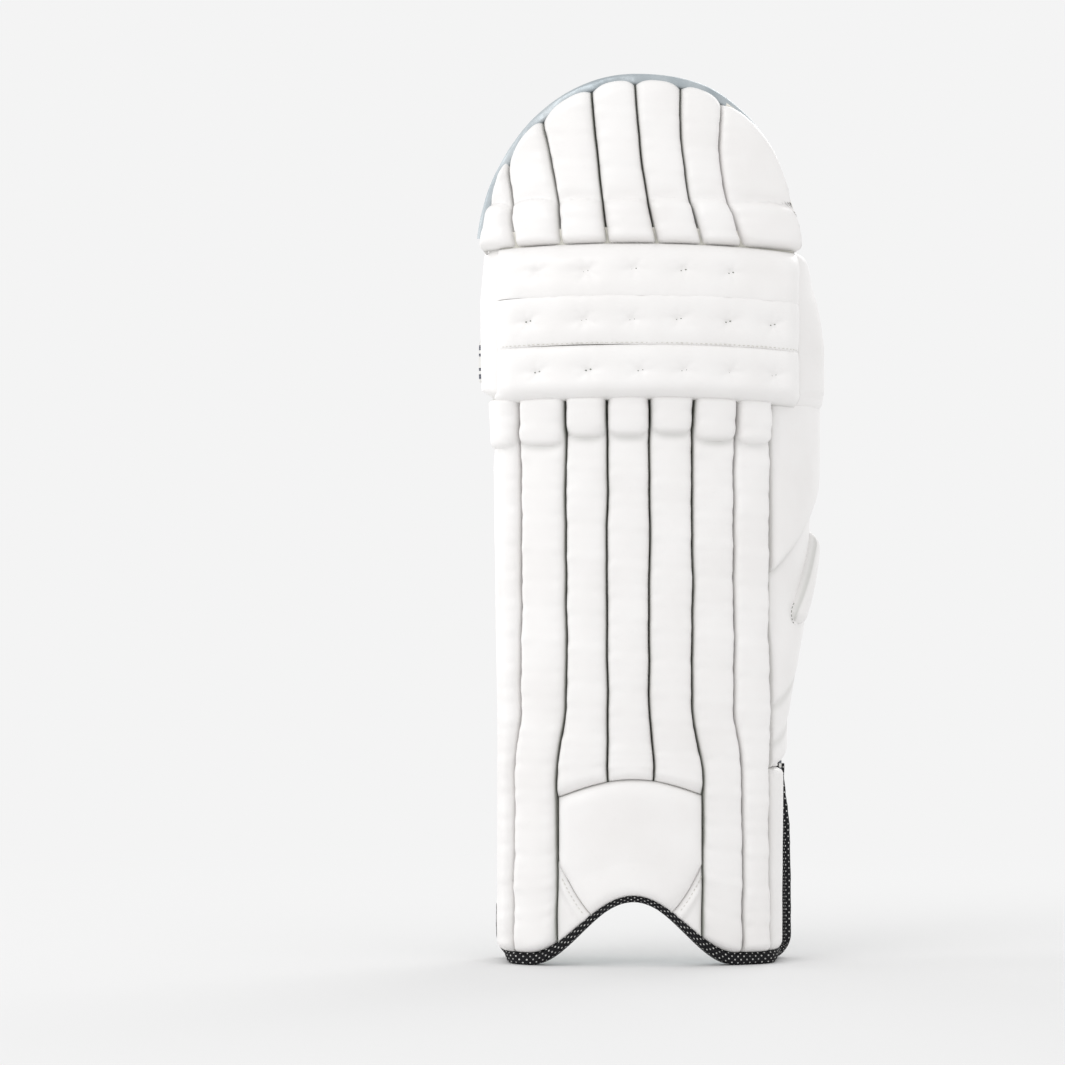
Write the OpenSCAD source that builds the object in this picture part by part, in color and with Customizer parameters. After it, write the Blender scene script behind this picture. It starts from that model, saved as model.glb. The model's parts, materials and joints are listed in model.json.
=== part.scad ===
// Cricket batting leg pad, standing upright on its hem.
// +Z is up, the face of the pad looks along -Y, the wing is on the +X side and the leg goes in
// from +Y. The origin is on the floor, under the middle of the pad's bounding box.
// Panels are laid out on a developed section: s runs round the leg from the centre line, z runs up
// and n stands out from the face of the backing shell.

/* [Overall] */
// Height from the hem to the top of the top hat
pad_height = 750; // [735:1:770]
// Height of the fold between the shin and the knee section
knee_z = 480; // [476:1:484]
// Height of the fold between the knee section and the top hat
hat_z = 606; // [604:1:610]
// Height where the ankle walls end and the wing starts
ankle_z = 167; // [164:1:170]

/* [Section round the leg] */
// Radius of the broad front face
front_radius = 215; // [205:1:230]
// Radius of the turn into the side walls at the ankle and on the medial side
corner_radius = 22; // [18:1:26]
// Radius of the turn into the wing at the calf
wing_radius = 82; // [70:1:88]
// Radius of the turn into the side walls at the knee
knee_radius = 40; // [34:1:46]
// Angle that the section has turned through at the rear of the wing
wing_angle = 94; // [90:1:96]
// Angle that the section has turned through at the medial wall, which leans in round the leg
medial_angle = 104; // [98:1:106]
// How many degrees more open the wing side stands at the ankle
wing_splay = 9; // [0:1:12]
// How many degrees more open the medial wall stands at the ankle
medial_splay = 13; // [0:1:16]

/* [Hem] */
// Height of the arch over the instep
arch_height = 54; // [40:1:60]
// Half width of the arch, measured round the leg
arch_half = 88; // [80:1:92]
// Height of the hem binding
hem_height = 9; // [8:0.5:9]

/* [Layers] */
// Thickness of the backing shell
shell_t = 4; // [3:0.5:4.5]
// Thickness of the cane strips in the shin rolls
cane_t = 3; // [2:0.5:3]
// Height of the shin rolls over the shell
shin_roll_h = 15; // [12:1:17]
// Height of the knee rolls over the shell
knee_roll_h = 31; // [26:1:34]
// Height of the top hat rolls over the shell
hat_roll_h = 15; // [12:1:17]
// Depth of the bolsters behind the shin
bolster_h = 23; // [18:1:26]
// Depth of the pads behind the knee
knee_pad_h = 25; // [18:1:28]
// Thickness of the padded side panels
side_t = 7; // [5:0.5:7.5]
// Thickness of the lining behind the top hat
lining_t = 9; // [6:1:11]

/* [Straps] */
// Thickness of the webbing
web_t = 2; // [1.5:0.1:2.2]
// Width of the knee strap
knee_strap_w = 35; // [32:1:38]
// Width of the calf and ankle straps
wide_strap_w = 62; // [56:1:64]
// Height of the middle of the ankle strap
ankle_strap_z = 184; // [182:1:190]
// Height of the middle of the calf strap
calf_strap_z = 365; // [350:1:380]
// Height of the middle of the knee strap
knee_strap_z = 509; // [507:1:514]
// Radius of the bars of the buckle rings
bar_r = 2.2; // [2:0.1:2.4]
// Distance between the two upright bars of a ring
ring_span = 20; // [18:1:24]
// Height of the sewn label on the calf strap
label_h = 34; // [26:1:40]

/* [Hidden] */
$fn = 32;
deg = 180 / PI;

// Middle of the bounding box, measured from the pad's own centre line and the face of its shell
centre_x = 15.5;
centre_y = 53;
// Clearance between neighbouring layers, and the smaller one between thin parts
gap = 0.6;
thin_gap = 0.4;
// Thickness that a padded piece keeps at its sewn edges
seam_t = 2;
// Heights at which every layer has a row of points
levels = [30, 60, 90, 120, 166, 205, 256, 307, 358, 409, 443, 520, 560];

// Half widths of the shell at chosen heights
medial_half = [
    [0, 97], [18, 102.5], [222, 102.5], [443, 107.5], [478, 110], [484, 120], [560, 121], [606, 117]
];
wing_half = [
    [0, 113], [18, 119], [205, 121], [256, 130], [307, 140], [358, 147], [409, 150], [478, 152],
    [520, 152], [560, 149], [606, 140]
];
// Radius of the turn at chosen heights
wing_turn = [
    [0, corner_radius], [166, corner_radius], [256, 45], [358, 75], [409, wing_radius],
    [478, wing_radius], [484, 50], [606, knee_radius]
];
medial_turn = [[0, corner_radius], [478, corner_radius], [606, knee_radius - 10]];
// Distance round the leg to the rear edges at chosen heights
wing_edge = [[0, 181], [166, 181], [256, 194], [358, 209], [443, 217], [520, 212], [606, 170]];
medial_edge = [[0, 168], [166, 168], [443, 176], [520, 176], [606, 148]];
// How far the face of the shell stands back at chosen heights
set_back = [[0, -8], [60, -3], [140, 0], [440, 0], [484, -6], [560, -8], [606, -4], [750, 4]];

// Places round the leg of the seams between the shin rolls, at the hem and at the knee
shin_seams_low = [-134, -98, -62.5, -20.5, 16.5, 57, 91, 116];
shin_seams_high = [-136, -93, -54.5, -21, 13, 48, 83.5, 116];
// Places of the seams between the top hat rolls, at the knee and at the rim
hat_seams_low = [-124, -94, -57.5, -20.5, 18.5, 54.5, 87, 141];
hat_seams_high = [-113, -102, -73, -34, 1.7, 40, 73, 127];
// Place of the hinge seam of the wing
hinge_s = 118;
// Place of the side seams of the knee rolls
knee_roll_medial = -112;
knee_roll_wing = 141;
// Heights of the seams between the knee rolls
knee_seams = [knee_z, knee_z + 41, knee_z + 82, hat_z - 2];
// Lean of the seams of the knee section, lower at the sides
knee_drop = 4;

function lerp(a, b, t) = a + (b - a) * t;
function clamp(t) = max(0, min(1, t));

// Rise of the hem over the arch, fading out above the ankle
function hem_rise(s, z) =
    (abs(s) < arch_half ? arch_height / 2 * (1 + cos(180 * s / arch_half)) : 0)
    * clamp(1 - z / 120);

function edge_of(side, z) = lookup(z, side < 0 ? medial_edge : wing_edge);

// Angle that the section turns through on one side at a height: the walls stand more open at the ankle
function splayed(z) = clamp((ankle_z - 42 - z) / 80);
function last_angle(side, z) =
    side < 0 ? medial_angle - medial_splay * splayed(z) : wing_angle - wing_splay * splayed(z);

// Angle of the section at s, then its place in plan
function turn_start(hw, r) = asin((hw - r) / (front_radius - r));
function plan(a, hw, r, turn) =
    let (
        t1 = turn_start(hw, r),
        s1 = front_radius * t1 / deg,
        s2 = s1 + r * (turn - t1) / deg,
        t = a < s1 ? a / front_radius * deg : (a < s2 ? t1 + (a - s1) / r * deg : turn),
        x1 = front_radius * sin(t1),
        y1 = front_radius * (1 - cos(t1)),
        turned = a < s1 ? 0 : r,
        x = a < s1 ? front_radius * sin(t) : x1 + turned * (sin(t) - sin(t1)),
        y = a < s1 ? front_radius * (1 - cos(t)) : y1 + turned * (cos(t1) - cos(t)),
        wall = max(0, a - s2)
    )
    [x + wall * cos(turn), y + wall * sin(turn), t];

// A point of the shin and knee sections
function pad_point(s, z, n) =
    let (
        side = s < 0 ? -1 : 1,
        hw = lookup(z, side < 0 ? medial_half : wing_half),
        r = lookup(z, side < 0 ? medial_turn : wing_turn),
        q = plan(abs(s), hw, r, last_angle(side, z))
    )
    [
        side * (q[0] + n * sin(q[2])) - centre_x,
        q[1] - n * cos(q[2]) + lookup(z, set_back) - centre_y,
        z + hem_rise(s, z)
    ];

// A point of the top hat
function hat_point(s, z, n) =
    let (t = s / front_radius * deg)
    [
        (front_radius + n) * sin(t) - centre_x,
        front_radius - (front_radius + n) * cos(t) + lookup(z, set_back) - centre_y,
        z
    ];

// A closed solid between an outer and an inner grid of points
module slab(A, B) {
    m = len(A);
    k = len(A[0]);
    points = concat([for (r = A) each r], [for (r = B) each r]);
    a = function(i, j) i * k + j;
    b = function(i, j) m * k + i * k + j;
    faces = [
        for (i = [0 : m - 2])
            for (j = [0 : k - 2])
                each [
                    [a(i, j), a(i + 1, j), a(i + 1, j + 1)],
                    [a(i, j), a(i + 1, j + 1), a(i, j + 1)],
                    [b(i, j), b(i + 1, j + 1), b(i + 1, j)],
                    [b(i, j), b(i, j + 1), b(i + 1, j + 1)]
                ],
        for (j = [0 : k - 2])
            each [
                [a(0, j), a(0, j + 1), b(0, j + 1)],
                [a(0, j), b(0, j + 1), b(0, j)],
                [a(m - 1, j + 1), a(m - 1, j), b(m - 1, j)],
                [a(m - 1, j + 1), b(m - 1, j), b(m - 1, j + 1)]
            ],
        for (i = [0 : m - 2])
            each [
                [a(i + 1, 0), a(i, 0), b(i, 0)],
                [a(i + 1, 0), b(i, 0), b(i + 1, 0)],
                [a(i, k - 1), a(i + 1, k - 1), b(i + 1, k - 1)],
                [a(i, k - 1), b(i + 1, k - 1), b(i, k - 1)]
            ]
    ];
    polyhedron(points = points, faces = faces);
}

// Rows of a panel from z0 to z1, with extra rows at rounded ends
function rows(z0, z1, round = 0) =
    concat(
        round > 0 ? [z0, z0 + round / 3, z0 + round] : [z0],
        [for (z = levels) if (z > z0 + round + 8 && z < z1 - round - 8) z],
        round > 0 ? [z1 - round, z1 - round / 3, z1] : [z1]
    );
function crown(u) = sqrt(1 - pow(abs(2 * u - 1), 4));
function end_round(z, z0, z1, round) =
    round > 0 ? sqrt(1 - pow(1 - clamp(min(z - z0, z1 - z) / round), 2)) : 1;

// A panel or cushion on the section. left and right give s at a height, low and high give how far
// its ends stand off z0 and z1 at an s, and depth gives its crowned thickness at a height.
// base is the layer that it starts on; a negative depth lies on the leg side.
fade = 40;
module cushion(z0, z1, left, right, base, depth, round = 10, cols = 8, low = function(s) 0,
               high = function(s) 0, edge_t = seam_t) {
    rs = rows(z0, z1, round);
    s_at = function(z, u) lerp(left(z), right(z), u);
    z_at = function(z, s)
        z + low(s) * clamp(1 - (z - z0) / fade) + high(s) * clamp(1 - (z1 - z) / fade);
    thick = function(z, u)
        let (d = depth(z), e = edge_t * sign(d))
        e + (d - e) * (round > 0 ? crown(u) : 1) * end_round(z, z0, z1, round);
    grid = function(f)
        [
            for (z = rs)
                [for (j = [0 : cols]) let (u = j / cols, s = s_at(z, u)) pad_point(s, z_at(z, s), f(z, u))]
        ];
    flat_side = grid(function(z, u) base);
    crowned = grid(function(z, u) base + thick(z, u));
    if (depth(z0 + 1) > 0)
        slab(crowned, flat_side);
    else
        slab(flat_side, crowned);
}

// ---- shin ----

knee_lean = function(s) -knee_drop * pow(s / 120, 2);
// Extra room at the sides of the fold, which the knee section swings down into
side_fall = 11;
shin_drop = function(s) -side_fall * pow(clamp((abs(s) - 60) / 60), 2);
shell_low_z = hem_height + gap;
shin_top_z = knee_z - 4;
roll_base = cane_t + 2 * thin_gap;
instep_top = 141;
instep_rise = 15;
instep_arc = function(s) instep_rise * cos(clamp(abs(s) / 60) * 90);

module shin_shell() {
    color("ivory")
    cushion(
        shell_low_z, shin_top_z, function(z) -edge_of(-1, z) + gap, function(z) hinge_s - 2, -shell_t,
        function(z) shell_t, round = 0, cols = 24, high = shin_drop
    );
}

module ankle_side_wall() {
    color("ivory")
    cushion(
        shell_low_z, ankle_z - 3, function(z) hinge_s - 2 + gap, function(z) edge_of(1, z) - gap,
        -shell_t, function(z) shell_t + side_t, round = 0, cols = 8
    );
}

// The seams are straight up to the instep and keep clear of the shield below it
function shin_share(z) = clamp((z - instep_top - instep_rise - 2) / 62);
// Each roll has a fuller knuckle under the knee
knuckle_z = 425;
knuckle_h = 3;
// One shin roll
module shin_roll(i) {
    short = i >= 3 && i <= 5;
    z0 = short ? instep_top : shell_low_z + 1;
    z1 = knee_z - 2;
    seam = function(k, z) lerp(shin_seams_low[k], shin_seams_high[k], shin_share(z));
    color("white")
    cushion(
        z0, z1, function(z) seam(i - 1, z) + 0.5, function(z) seam(i, z) - 0.5, roll_base,
        function(z) (shin_roll_h - roll_base) + knuckle_h * clamp((z - knuckle_z) / 15), round = 12,
        low = function(s) short ? instep_arc(s) : 0,
        high = function(s) knee_lean(s) + shin_drop(s), cols = 8
    );
}

// The cane strips that stiffen the seven rolls
module shin_canes() {
    color("burlywood")
    for (i = [1 : 7]) {
        short = i >= 3 && i <= 5;
        mid_low = (shin_seams_low[i - 1] + shin_seams_low[i]) / 2;
        mid_high = (shin_seams_high[i - 1] + shin_seams_high[i]) / 2;
        half = 8;
        mid = function(z) lerp(mid_low, mid_high, shin_share(z));
        cushion(
            short ? 170 : 30, 470, function(z) mid(z) - half, function(z) mid(z) + half, thin_gap,
            function(z) cane_t, round = 0, cols = 4, high = shin_drop
        );
    }
}

// The corner panels beside the shield
corner_top_z = 79;
corner_medial_s = 61;
corner_wing_s = 57.5;
corner_t = 9;
shield_half_low = 34;
shield_half_high = 59;
function shield_edge(z) = lerp(shield_half_low, shield_half_high, clamp((z - shell_low_z) / 70));

module instep_shield() {
    color("white")
    cushion(
        shell_low_z + 1, instep_top - 2, function(z) -shield_edge(z) + gap, function(z) shield_edge(z) - 3,
        roll_base - cane_t, function(z) shin_roll_h - 2, round = 12, cols = 12, high = instep_arc
    );
}

// The two corner panels beside the shield, above the feet of the hem
module instep_corners() {
    color("white") {
        cushion(
            shell_low_z + 1, corner_top_z, function(z) -corner_medial_s, function(z) -shield_edge(z) - gap,
            roll_base - cane_t, function(z) corner_t, round = 8, cols = 5
        );
        cushion(
            shell_low_z + 1, corner_top_z, function(z) shield_edge(z) - 1.8, function(z) corner_wing_s,
            roll_base - cane_t, function(z) corner_t, round = 8, cols = 5
        );
    }
}

bolster_base = -shell_t - gap;
ankle_bolster_top = 144;
ankle_bolster_h = 16;
shin_bolster_top = 468;
centre_bolster_low = 150;
outer_bolster_low = 180;
mesh_end_low = 147;
mesh_end_high = outer_bolster_low - 2;
bolster_gap = 4;
bolster_mid = 42;
bolster_out = 108;
medial_out = 96;

module ankle_bolster(s0, s1) {
    color("lightsteelblue")
    cushion(
        shell_low_z + 3, ankle_bolster_top, function(z) s0, function(z) s1, bolster_base,
        function(z) -ankle_bolster_h, round = 10, cols = 8
    );
}
module ankle_bolster_medial() { ankle_bolster(-medial_out, -bolster_mid - bolster_gap); }
module ankle_bolster_centre() { ankle_bolster(-bolster_mid, bolster_mid); }
module ankle_bolster_wing() { ankle_bolster(bolster_mid + bolster_gap, bolster_out); }

module shin_bolster(s0, s1, z0) {
    color("silver")
    cushion(
        z0, shin_bolster_top, function(z) s0, function(z) s1, bolster_base, function(z) -bolster_h,
        round = 14, cols = 8
    );
}
module shin_bolster_medial() { shin_bolster(-medial_out, -bolster_mid - bolster_gap, outer_bolster_low); }
module shin_bolster_centre() { shin_bolster(-bolster_mid, bolster_mid, centre_bolster_low); }
module shin_bolster_wing() { shin_bolster(bolster_mid + bolster_gap, bolster_out, outer_bolster_low); }

// The rounded mesh ends under the two outer bolsters
module bolster_mesh_ends() {
    color("wheat")
    for (side = [-1, 1])
        cushion(
            mesh_end_low, mesh_end_high, function(z) side < 0 ? -medial_out : bolster_mid + bolster_gap,
            function(z) side < 0 ? -bolster_mid - bolster_gap : bolster_out, bolster_base,
            function(z) -bolster_h, round = 12, cols = 8
        );
}

binding_out = 8;
binding_in = shell_t + 2;
binding_w = 5;

// The hem: two level runners that the pad stands on, the arch between them and the bands that
// climb the rear edges of the ankle walls
module hem_binding() {
    color("dimgray") {
        for (side = [-1, 1]) {
            s_end = edge_of(side, 0) + binding_w;
            steps = 14;
            foot = [for (i = [0 : steps]) lerp(arch_half - 2, s_end, i / steps)];
            runner = function(n) [for (s = foot) plan_at(side * s, hem_height / 2, n)];
            outer = runner(binding_out);
            inner = runner(-binding_in);
            linear_extrude(height = hem_height)
            polygon(concat(outer, [for (i = [steps : -1 : 0]) inner[i]]));
            band = function(z) side * (edge_of(side, z) + gap);
            band_out = function(z) side * (edge_of(side, z) + binding_w - gap);
            cushion(
                hem_height / 2, ankle_z - 3, side < 0 ? band_out : band, side < 0 ? band : band_out,
                -binding_in + 0.5, function(z) binding_in + binding_out - 1, round = 0, cols = 1
            );
        }
        cushion(
            thin_gap, hem_height - thin_gap, function(z) -arch_half - 1, function(z) arch_half + 1,
            -binding_in + 0.5, function(z) binding_in + binding_out - 1, round = 0, cols = 16
        );
    }
}

module shin_side_panel() {
    color("ivory")
    cushion(
        shell_low_z + 1, shin_top_z, function(z) -edge_of(-1, z) + gap,
        function(z) shin_seams_low[0] - 3, gap,
        function(z) side_t - gap, round = 0, cols = 4, high = shin_drop
    );
}

module medial_edge_binding() {
    color("ivory")
    cushion(
        ankle_z - 3 + gap, shin_top_z - 11, function(z) -edge_of(-1, z) - binding_w,
        function(z) -edge_of(-1, z),
        -binding_in, function(z) binding_in + side_t, round = 0, cols = 1
    );
}

// Loop patches on the medial wall, where the calf and ankle straps press on
patch_t = 0.8;
module patch(z, w, s) {
    color("whitesmoke")
    cushion(
        z - w / 2, z + w / 2, function(z) -s - 22, function(z) -s, side_t + thin_gap, function(z) patch_t,
        round = 0, cols = 2
    );
}
module loop_patches_shin() {
    patch(calf_strap_z, wide_strap_w - 8, 150);
    patch(ankle_strap_z, wide_strap_w - 8, 143);
}

// ---- wing ----

wing_low_z = ankle_z + 3;
// The wing stops short of the fold, clear of the knee section as it flexes
wing_top_z = knee_z - 13;
wing_s = hinge_s + 2;

module wing_panel() {
    color("ivory")
    cushion(
        wing_low_z, wing_top_z, function(z) wing_s, function(z) edge_of(1, z) - gap, -shell_t,
        function(z) shell_t + 3, round = 0, cols = 12
    );
}

feather_pitch = 72;
feather_w = 64;
feather_h = 6;
feather_lean = 6.5;
// Four padded ribs that fan down and forward from the rear edge of the wing
module wing_feather(i) {
    z0 = wing_low_z + 12 + (i - 1) * feather_pitch;
    z1 = z0 + feather_w;
    lean = function(s) feather_lean * (clamp((s - wing_s) / 80) - 0.4);
    color("white")
    cushion(
        z0, z1, function(z) wing_s + 3, function(z) edge_of(1, z) - tab_run - 6, 3 + gap,
        function(z) feather_h, round = 10, cols = 8, low = lean, high = lean
    );
}

module wing_edge_binding() {
    color("ivory")
    cushion(
        wing_low_z, wing_top_z, function(z) edge_of(1, z), function(z) edge_of(1, z) + binding_w,
        -binding_in - 2, function(z) binding_in + 5, round = 0, cols = 1
    );
}

module wing_lining() {
    color("linen")
    cushion(
        wing_low_z, wing_top_z - 2, function(z) wing_s, function(z) edge_of(1, z) - gap, -shell_t - gap,
        function(z) -3, round = 0, cols = 12, edge_t = 3
    );
}

// ---- knee ----

knee_low_z = knee_z + 4;
knee_high_z = hat_z - 4;
// The top of the knee section falls away at the sides, which the top hat swings down into
knee_fall = function(s) -side_fall * pow(abs(s) / 140, 2);

module knee_shell() {
    color("ivory")
    cushion(
        knee_low_z, knee_high_z, function(z) -edge_of(-1, z) + gap, function(z) edge_of(1, z) - gap,
        -shell_t, function(z) shell_t, round = 0, cols = 28
    );
}

module knee_roll(i) {
    z0 = knee_seams[i] + (i == 0 ? 0.5 : gap);
    z1 = knee_seams[i + 1];
    color("white")
    cushion(
        z0, z1, function(z) knee_roll_medial, function(z) knee_roll_wing, gap, function(z) knee_roll_h,
        round = 14, cols = 20, low = knee_lean, high = i == 2 ? knee_fall : knee_lean
    );
}

module knee_side(s0, s1) {
    color("white")
    cushion(
        knee_low_z + 1, knee_high_z - 8, s0, s1, gap, function(z) side_t, round = 8, cols = 8
    );
}
module knee_side_medial() {
    knee_side(function(z) -edge_of(-1, z) - 3, function(z) knee_roll_medial - 1);
}
module knee_side_wing() {
    knee_side(function(z) knee_roll_wing + 1, function(z) edge_of(1, z) + 3);
}

module knee_pad(s0, s1, tint) {
    color(tint)
    cushion(
        knee_z + 14, knee_high_z - 2, function(z) s0, function(z) s1, bolster_base,
        function(z) -knee_pad_h, round = 14, cols = 8
    );
}
// The thinner part of a knee pad, which carries on to the rear edge
knee_lining_t = 8;
// Clearance of that thinner part from the outer shell
knee_lining_clear = 2;
module knee_lining(s0, s1) {
    color("ivory")
    cushion(
        knee_z + 14, knee_high_z - 2, s0, s1, bolster_base - knee_lining_clear,
        function(z) knee_lining_clear - knee_lining_t, round = knee_lining_t, cols = 12
    );
}
module knee_pad_medial() {
    knee_pad(-medial_out, -bolster_mid - bolster_gap, "ivory");
    knee_lining(function(z) -edge_of(-1, z) + 2, function(z) -medial_out + 8);
}
module knee_pad_centre() { knee_pad(-bolster_mid, bolster_mid, "silver"); }
module knee_pad_wing() {
    knee_pad(bolster_mid + bolster_gap, bolster_out + 8, "ivory");
    knee_lining(function(z) bolster_out, function(z) edge_of(1, z) - 2);
}

module loop_patch_knee() {
    color("whitesmoke")
    cushion(
        knee_strap_z + 1, knee_strap_z + 15, function(z) -172, function(z) -150, side_t + gap + thin_gap,
        function(z) patch_t, round = 0, cols = 2
    );
}

// ---- top hat ----

rim_mid_x = 2;
rim_medial_w = 133;
rim_medial_z = hat_z - 15;
rim_wing_w = 139;
rim_wing_z = hat_z - 6;
rim_power = 2.3;
rim_flare = 8;

// A point of the rim, running from the medial side over the top to the wing side, drawn in by inset
function rim(t, inset) =
    t < 0.5
    ? let (a = lerp(16, 90, 2 * t))
      [
          rim_mid_x - (rim_medial_w - inset) * cos(a),
          rim_medial_z + (pad_height - rim_medial_z - inset) * sin(a)
      ]
    : let (
          a = lerp(90, 12, 2 * t - 1),
          e = 2 / rim_power,
          z = rim_wing_z + (pad_height - rim_wing_z - inset) * pow(sin(a), e)
      )
      [
          rim_mid_x + (rim_wing_w - inset) * pow(cos(a), e) + rim_flare * clamp(1 - (z - rim_wing_z) / 60),
          z
      ];
// Height of the rim over a place across the pad, drawn in by inset
function rim_height(x, inset) =
    let (d = x - rim_mid_x)
    d < 0
    ? rim_medial_z + (pad_height - rim_medial_z - inset) * sqrt(1 - pow(d / (rim_medial_w - inset), 2))
    : rim_wing_z + (pad_height - rim_wing_z - inset)
      * pow(1 - pow(d / (rim_wing_w - inset), rim_power), 1 / rim_power);
// Distance round the leg to a place across the pad
function s_of(x) = front_radius * asin(x / front_radius) / deg;
function hat_low(s) = hat_z + 3 + 9 * pow(s / 140, 2);

// A sheet that fills the outline of the top hat between two layers
module hat_sheet(n_out, n_in, inset, cols, lines) {
    left = -rim_medial_w + rim_mid_x + inset + 1;
    right = rim_wing_w + rim_mid_x + rim_flare - inset - 3;
    grid = function(n)
        [
            for (v = [0 : lines])
                [
                    for (j = [0 : cols])
                        let (
                            u = j / cols,
                            top = rim(u, inset),
                            s_low = s_of(lerp(left, right, u)),
                            s = lerp(s_low, s_of(top[0]), v / lines),
                            z = lerp(hat_low(s_low), top[1], v / lines)
                        )
                        hat_point(s, z, n)
                ]
        ];
    slab(grid(n_out), grid(n_in));
}

module top_hat_shell() {
    color("ivory")
    hat_sheet(0, -shell_t, 5, 20, 6);
}

module top_hat_lining() {
    color("gainsboro")
    hat_sheet(-shell_t - gap, -shell_t - gap - lining_t, 7, 20, 6);
}

module top_hat_roll(i) {
    cols = 8;
    steps = [0, 4, 12, 30, 38, 60, 90, 120, 136, 144];
    last = len(steps) - 1;
    span = steps[last];
    place = function(u, v)
        let (
            x_low = lerp(hat_seams_low[i - 1] + thin_gap, hat_seams_low[i] - thin_gap, u),
            x_high = lerp(hat_seams_high[i - 1] + thin_gap, hat_seams_high[i] - thin_gap, u),
            z_low = hat_z + 2,
            z_high = rim_height(x_high, 8)
        )
        [s_of(lerp(x_low, x_high, v)), lerp(z_low, z_high, v)];
    pad = function(u, v)
        let (
            stepped = hat_roll_h + 6 * clamp((0.26 - v) / 0.06),
            ends = sqrt(1 - pow(1 - clamp(min(v, 1 - v) / 0.08), 2))
        )
        seam_t + (stepped - seam_t) * crown(u) * ends;
    grid = function(f)
        [
            for (step = steps)
                [
                    for (j = [0 : cols])
                        let (u = j / cols, v = step / span, q = place(u, v))
                        hat_point(q[0], q[1], f(u, v))
                ]
        ];
    color("white")
    slab(grid(function(u, v) gap + pad(u, v)), grid(function(u, v) gap));
}

module top_hat_piping() {
    steps = 32;
    ring_at = function(inset, n)
        [for (j = [0 : steps]) let (q = rim(0.82 * j / steps, inset)) hat_point(s_of(q[0]), q[1], n)];
    color("silver")
    slab([ring_at(4.4, 6), ring_at(0, 4)], [ring_at(4.4, -6), ring_at(0, -4)]);
}

// ---- straps and rings ----

// Plan places of the bars that the tabs hold, behind the wing, and the way to the other bar
ring_knee_at = [119, 66];
ring_calf_at = [88, 76];
ring_ankle_at = [70, 58];
ring_dir = [-0.985, 0.17];
loop_r = bar_r + 0.4;
// Layer of the tabs on the thin rear margin of the wing, and how far forward they are sewn
tab_n = 5.8;
tab_run = 26;
// How far forward the straps reach on the medial wall
strap_run = 27;

function plan_at(s, z, n) = let (p = pad_point(s, z, n)) [p[0], p[1]];
function bar_b(bar) = bar + ring_dir * ring_span;
function perp(d) = [-d[1], d[0]] / norm(d);
// Direction of a path at each of its points
function path_dir(p, i) =
    let (a = i == 0 ? p[0] : p[i - 1], b = i == len(p) - 1 ? p[i] : p[i + 1]) (b - a) / norm(b - a);
function offset_path(p, d) = [for (i = [0 : len(p) - 1]) p[i] + perp(path_dir(p, i)) * d];
function curve(a, b, c, d, steps) =
    [
        for (i = [0 : steps])
            let (t = i / steps, k = 1 - t)
            a * k * k * k + b * 3 * k * k * t + c * 3 * k * t * t + d * t * t * t
    ];

module ribbon(p, off = 0, t = web_t) {
    one = offset_path(p, off + t / 2);
    two = offset_path(p, off - t / 2);
    polygon(concat(one, [for (i = [len(two) - 1 : -1 : 0]) two[i]]));
}

// Webbing of one width, standing on its path in plan, with a sewn loop round the bar at its end
module webbing(z, w, p, bar) {
    translate([0, 0, z - w / 2])
    difference() {
        union() {
            linear_extrude(height = w) ribbon(p);
            translate(bar) cylinder(r = loop_r + web_t, h = w);
        }
        translate([bar[0], bar[1], -1]) cylinder(r = loop_r, h = w + 2);
    }
}

// The path of a tab: up the outer face of the wing, round its edge and in to the ring
function tab_path(z, w, bar, n) =
    let (
        top = z + w / 2,
        e = edge_of(1, top),
        turn = plan_at(e + binding_w + 2, top, n)
    )
    concat(
        [for (back = [tab_run : -tab_run / 3 : 1]) plan_at(e - back, top, n)],
        curve(turn, turn + [0, 8], bar + [16, 2], bar - ring_dir * (loop_r + web_t / 2), 7)
    );

// The path of a strap: across the back of the leg, round the medial edge and forward on its wall
function strap_path(z, bar, n) =
    let (
        e = edge_of(-1, z),
        start = bar_b(bar) + ring_dir * (loop_r + web_t / 2),
        turn = plan_at(-e - binding_w - 4, z, n)
    )
    concat(
        curve(start, start + ring_dir * 90, turn + [26, 34], turn + [1, 5], 14),
        [turn],
        [for (run = [2 : 5 : strap_run]) plan_at(-e + run, z, n)]
    );

knee_wall_n = side_t + 3.9;
shin_wall_n = side_t + 3.6;

module tab_knee() {
    color("white")
    webbing(
        knee_strap_z, knee_strap_w, tab_path(knee_strap_z, knee_strap_w, ring_knee_at, knee_wall_n - 1),
        ring_knee_at
    );
}
module tab_calf() {
    color("white")
    for (side = [-1, 1])
        webbing(
            calf_strap_z + side * (wide_strap_w / 4 + 1), wide_strap_w / 2 - 2,
            tab_path(calf_strap_z, wide_strap_w, ring_calf_at, tab_n), ring_calf_at
        );
}
module tab_ankle() {
    color("white")
    webbing(
        ankle_strap_z, wide_strap_w, tab_path(ankle_strap_z, wide_strap_w, ring_ankle_at, tab_n),
        ring_ankle_at
    );
}

module strap(z, w, bar, n) {
    color("white")
    webbing(z, w, strap_path(z, bar, n), bar_b(bar));
}
module strap_knee() { strap(knee_strap_z, knee_strap_w, ring_knee_at, knee_wall_n); }
module strap_calf() { strap(calf_strap_z, wide_strap_w, ring_calf_at, shin_wall_n); }
module strap_ankle() { strap(ankle_strap_z, wide_strap_w, ring_ankle_at, shin_wall_n); }

module strap_label() {
    path = strap_path(calf_strap_z, ring_calf_at, shin_wall_n);
    color("ivory")
    translate([0, 0, calf_strap_z - label_h / 2])
    linear_extrude(height = label_h)
    ribbon([for (i = [3 : 6]) path[i]], -web_t / 2 - 0.6, 0.8);
}

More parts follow.
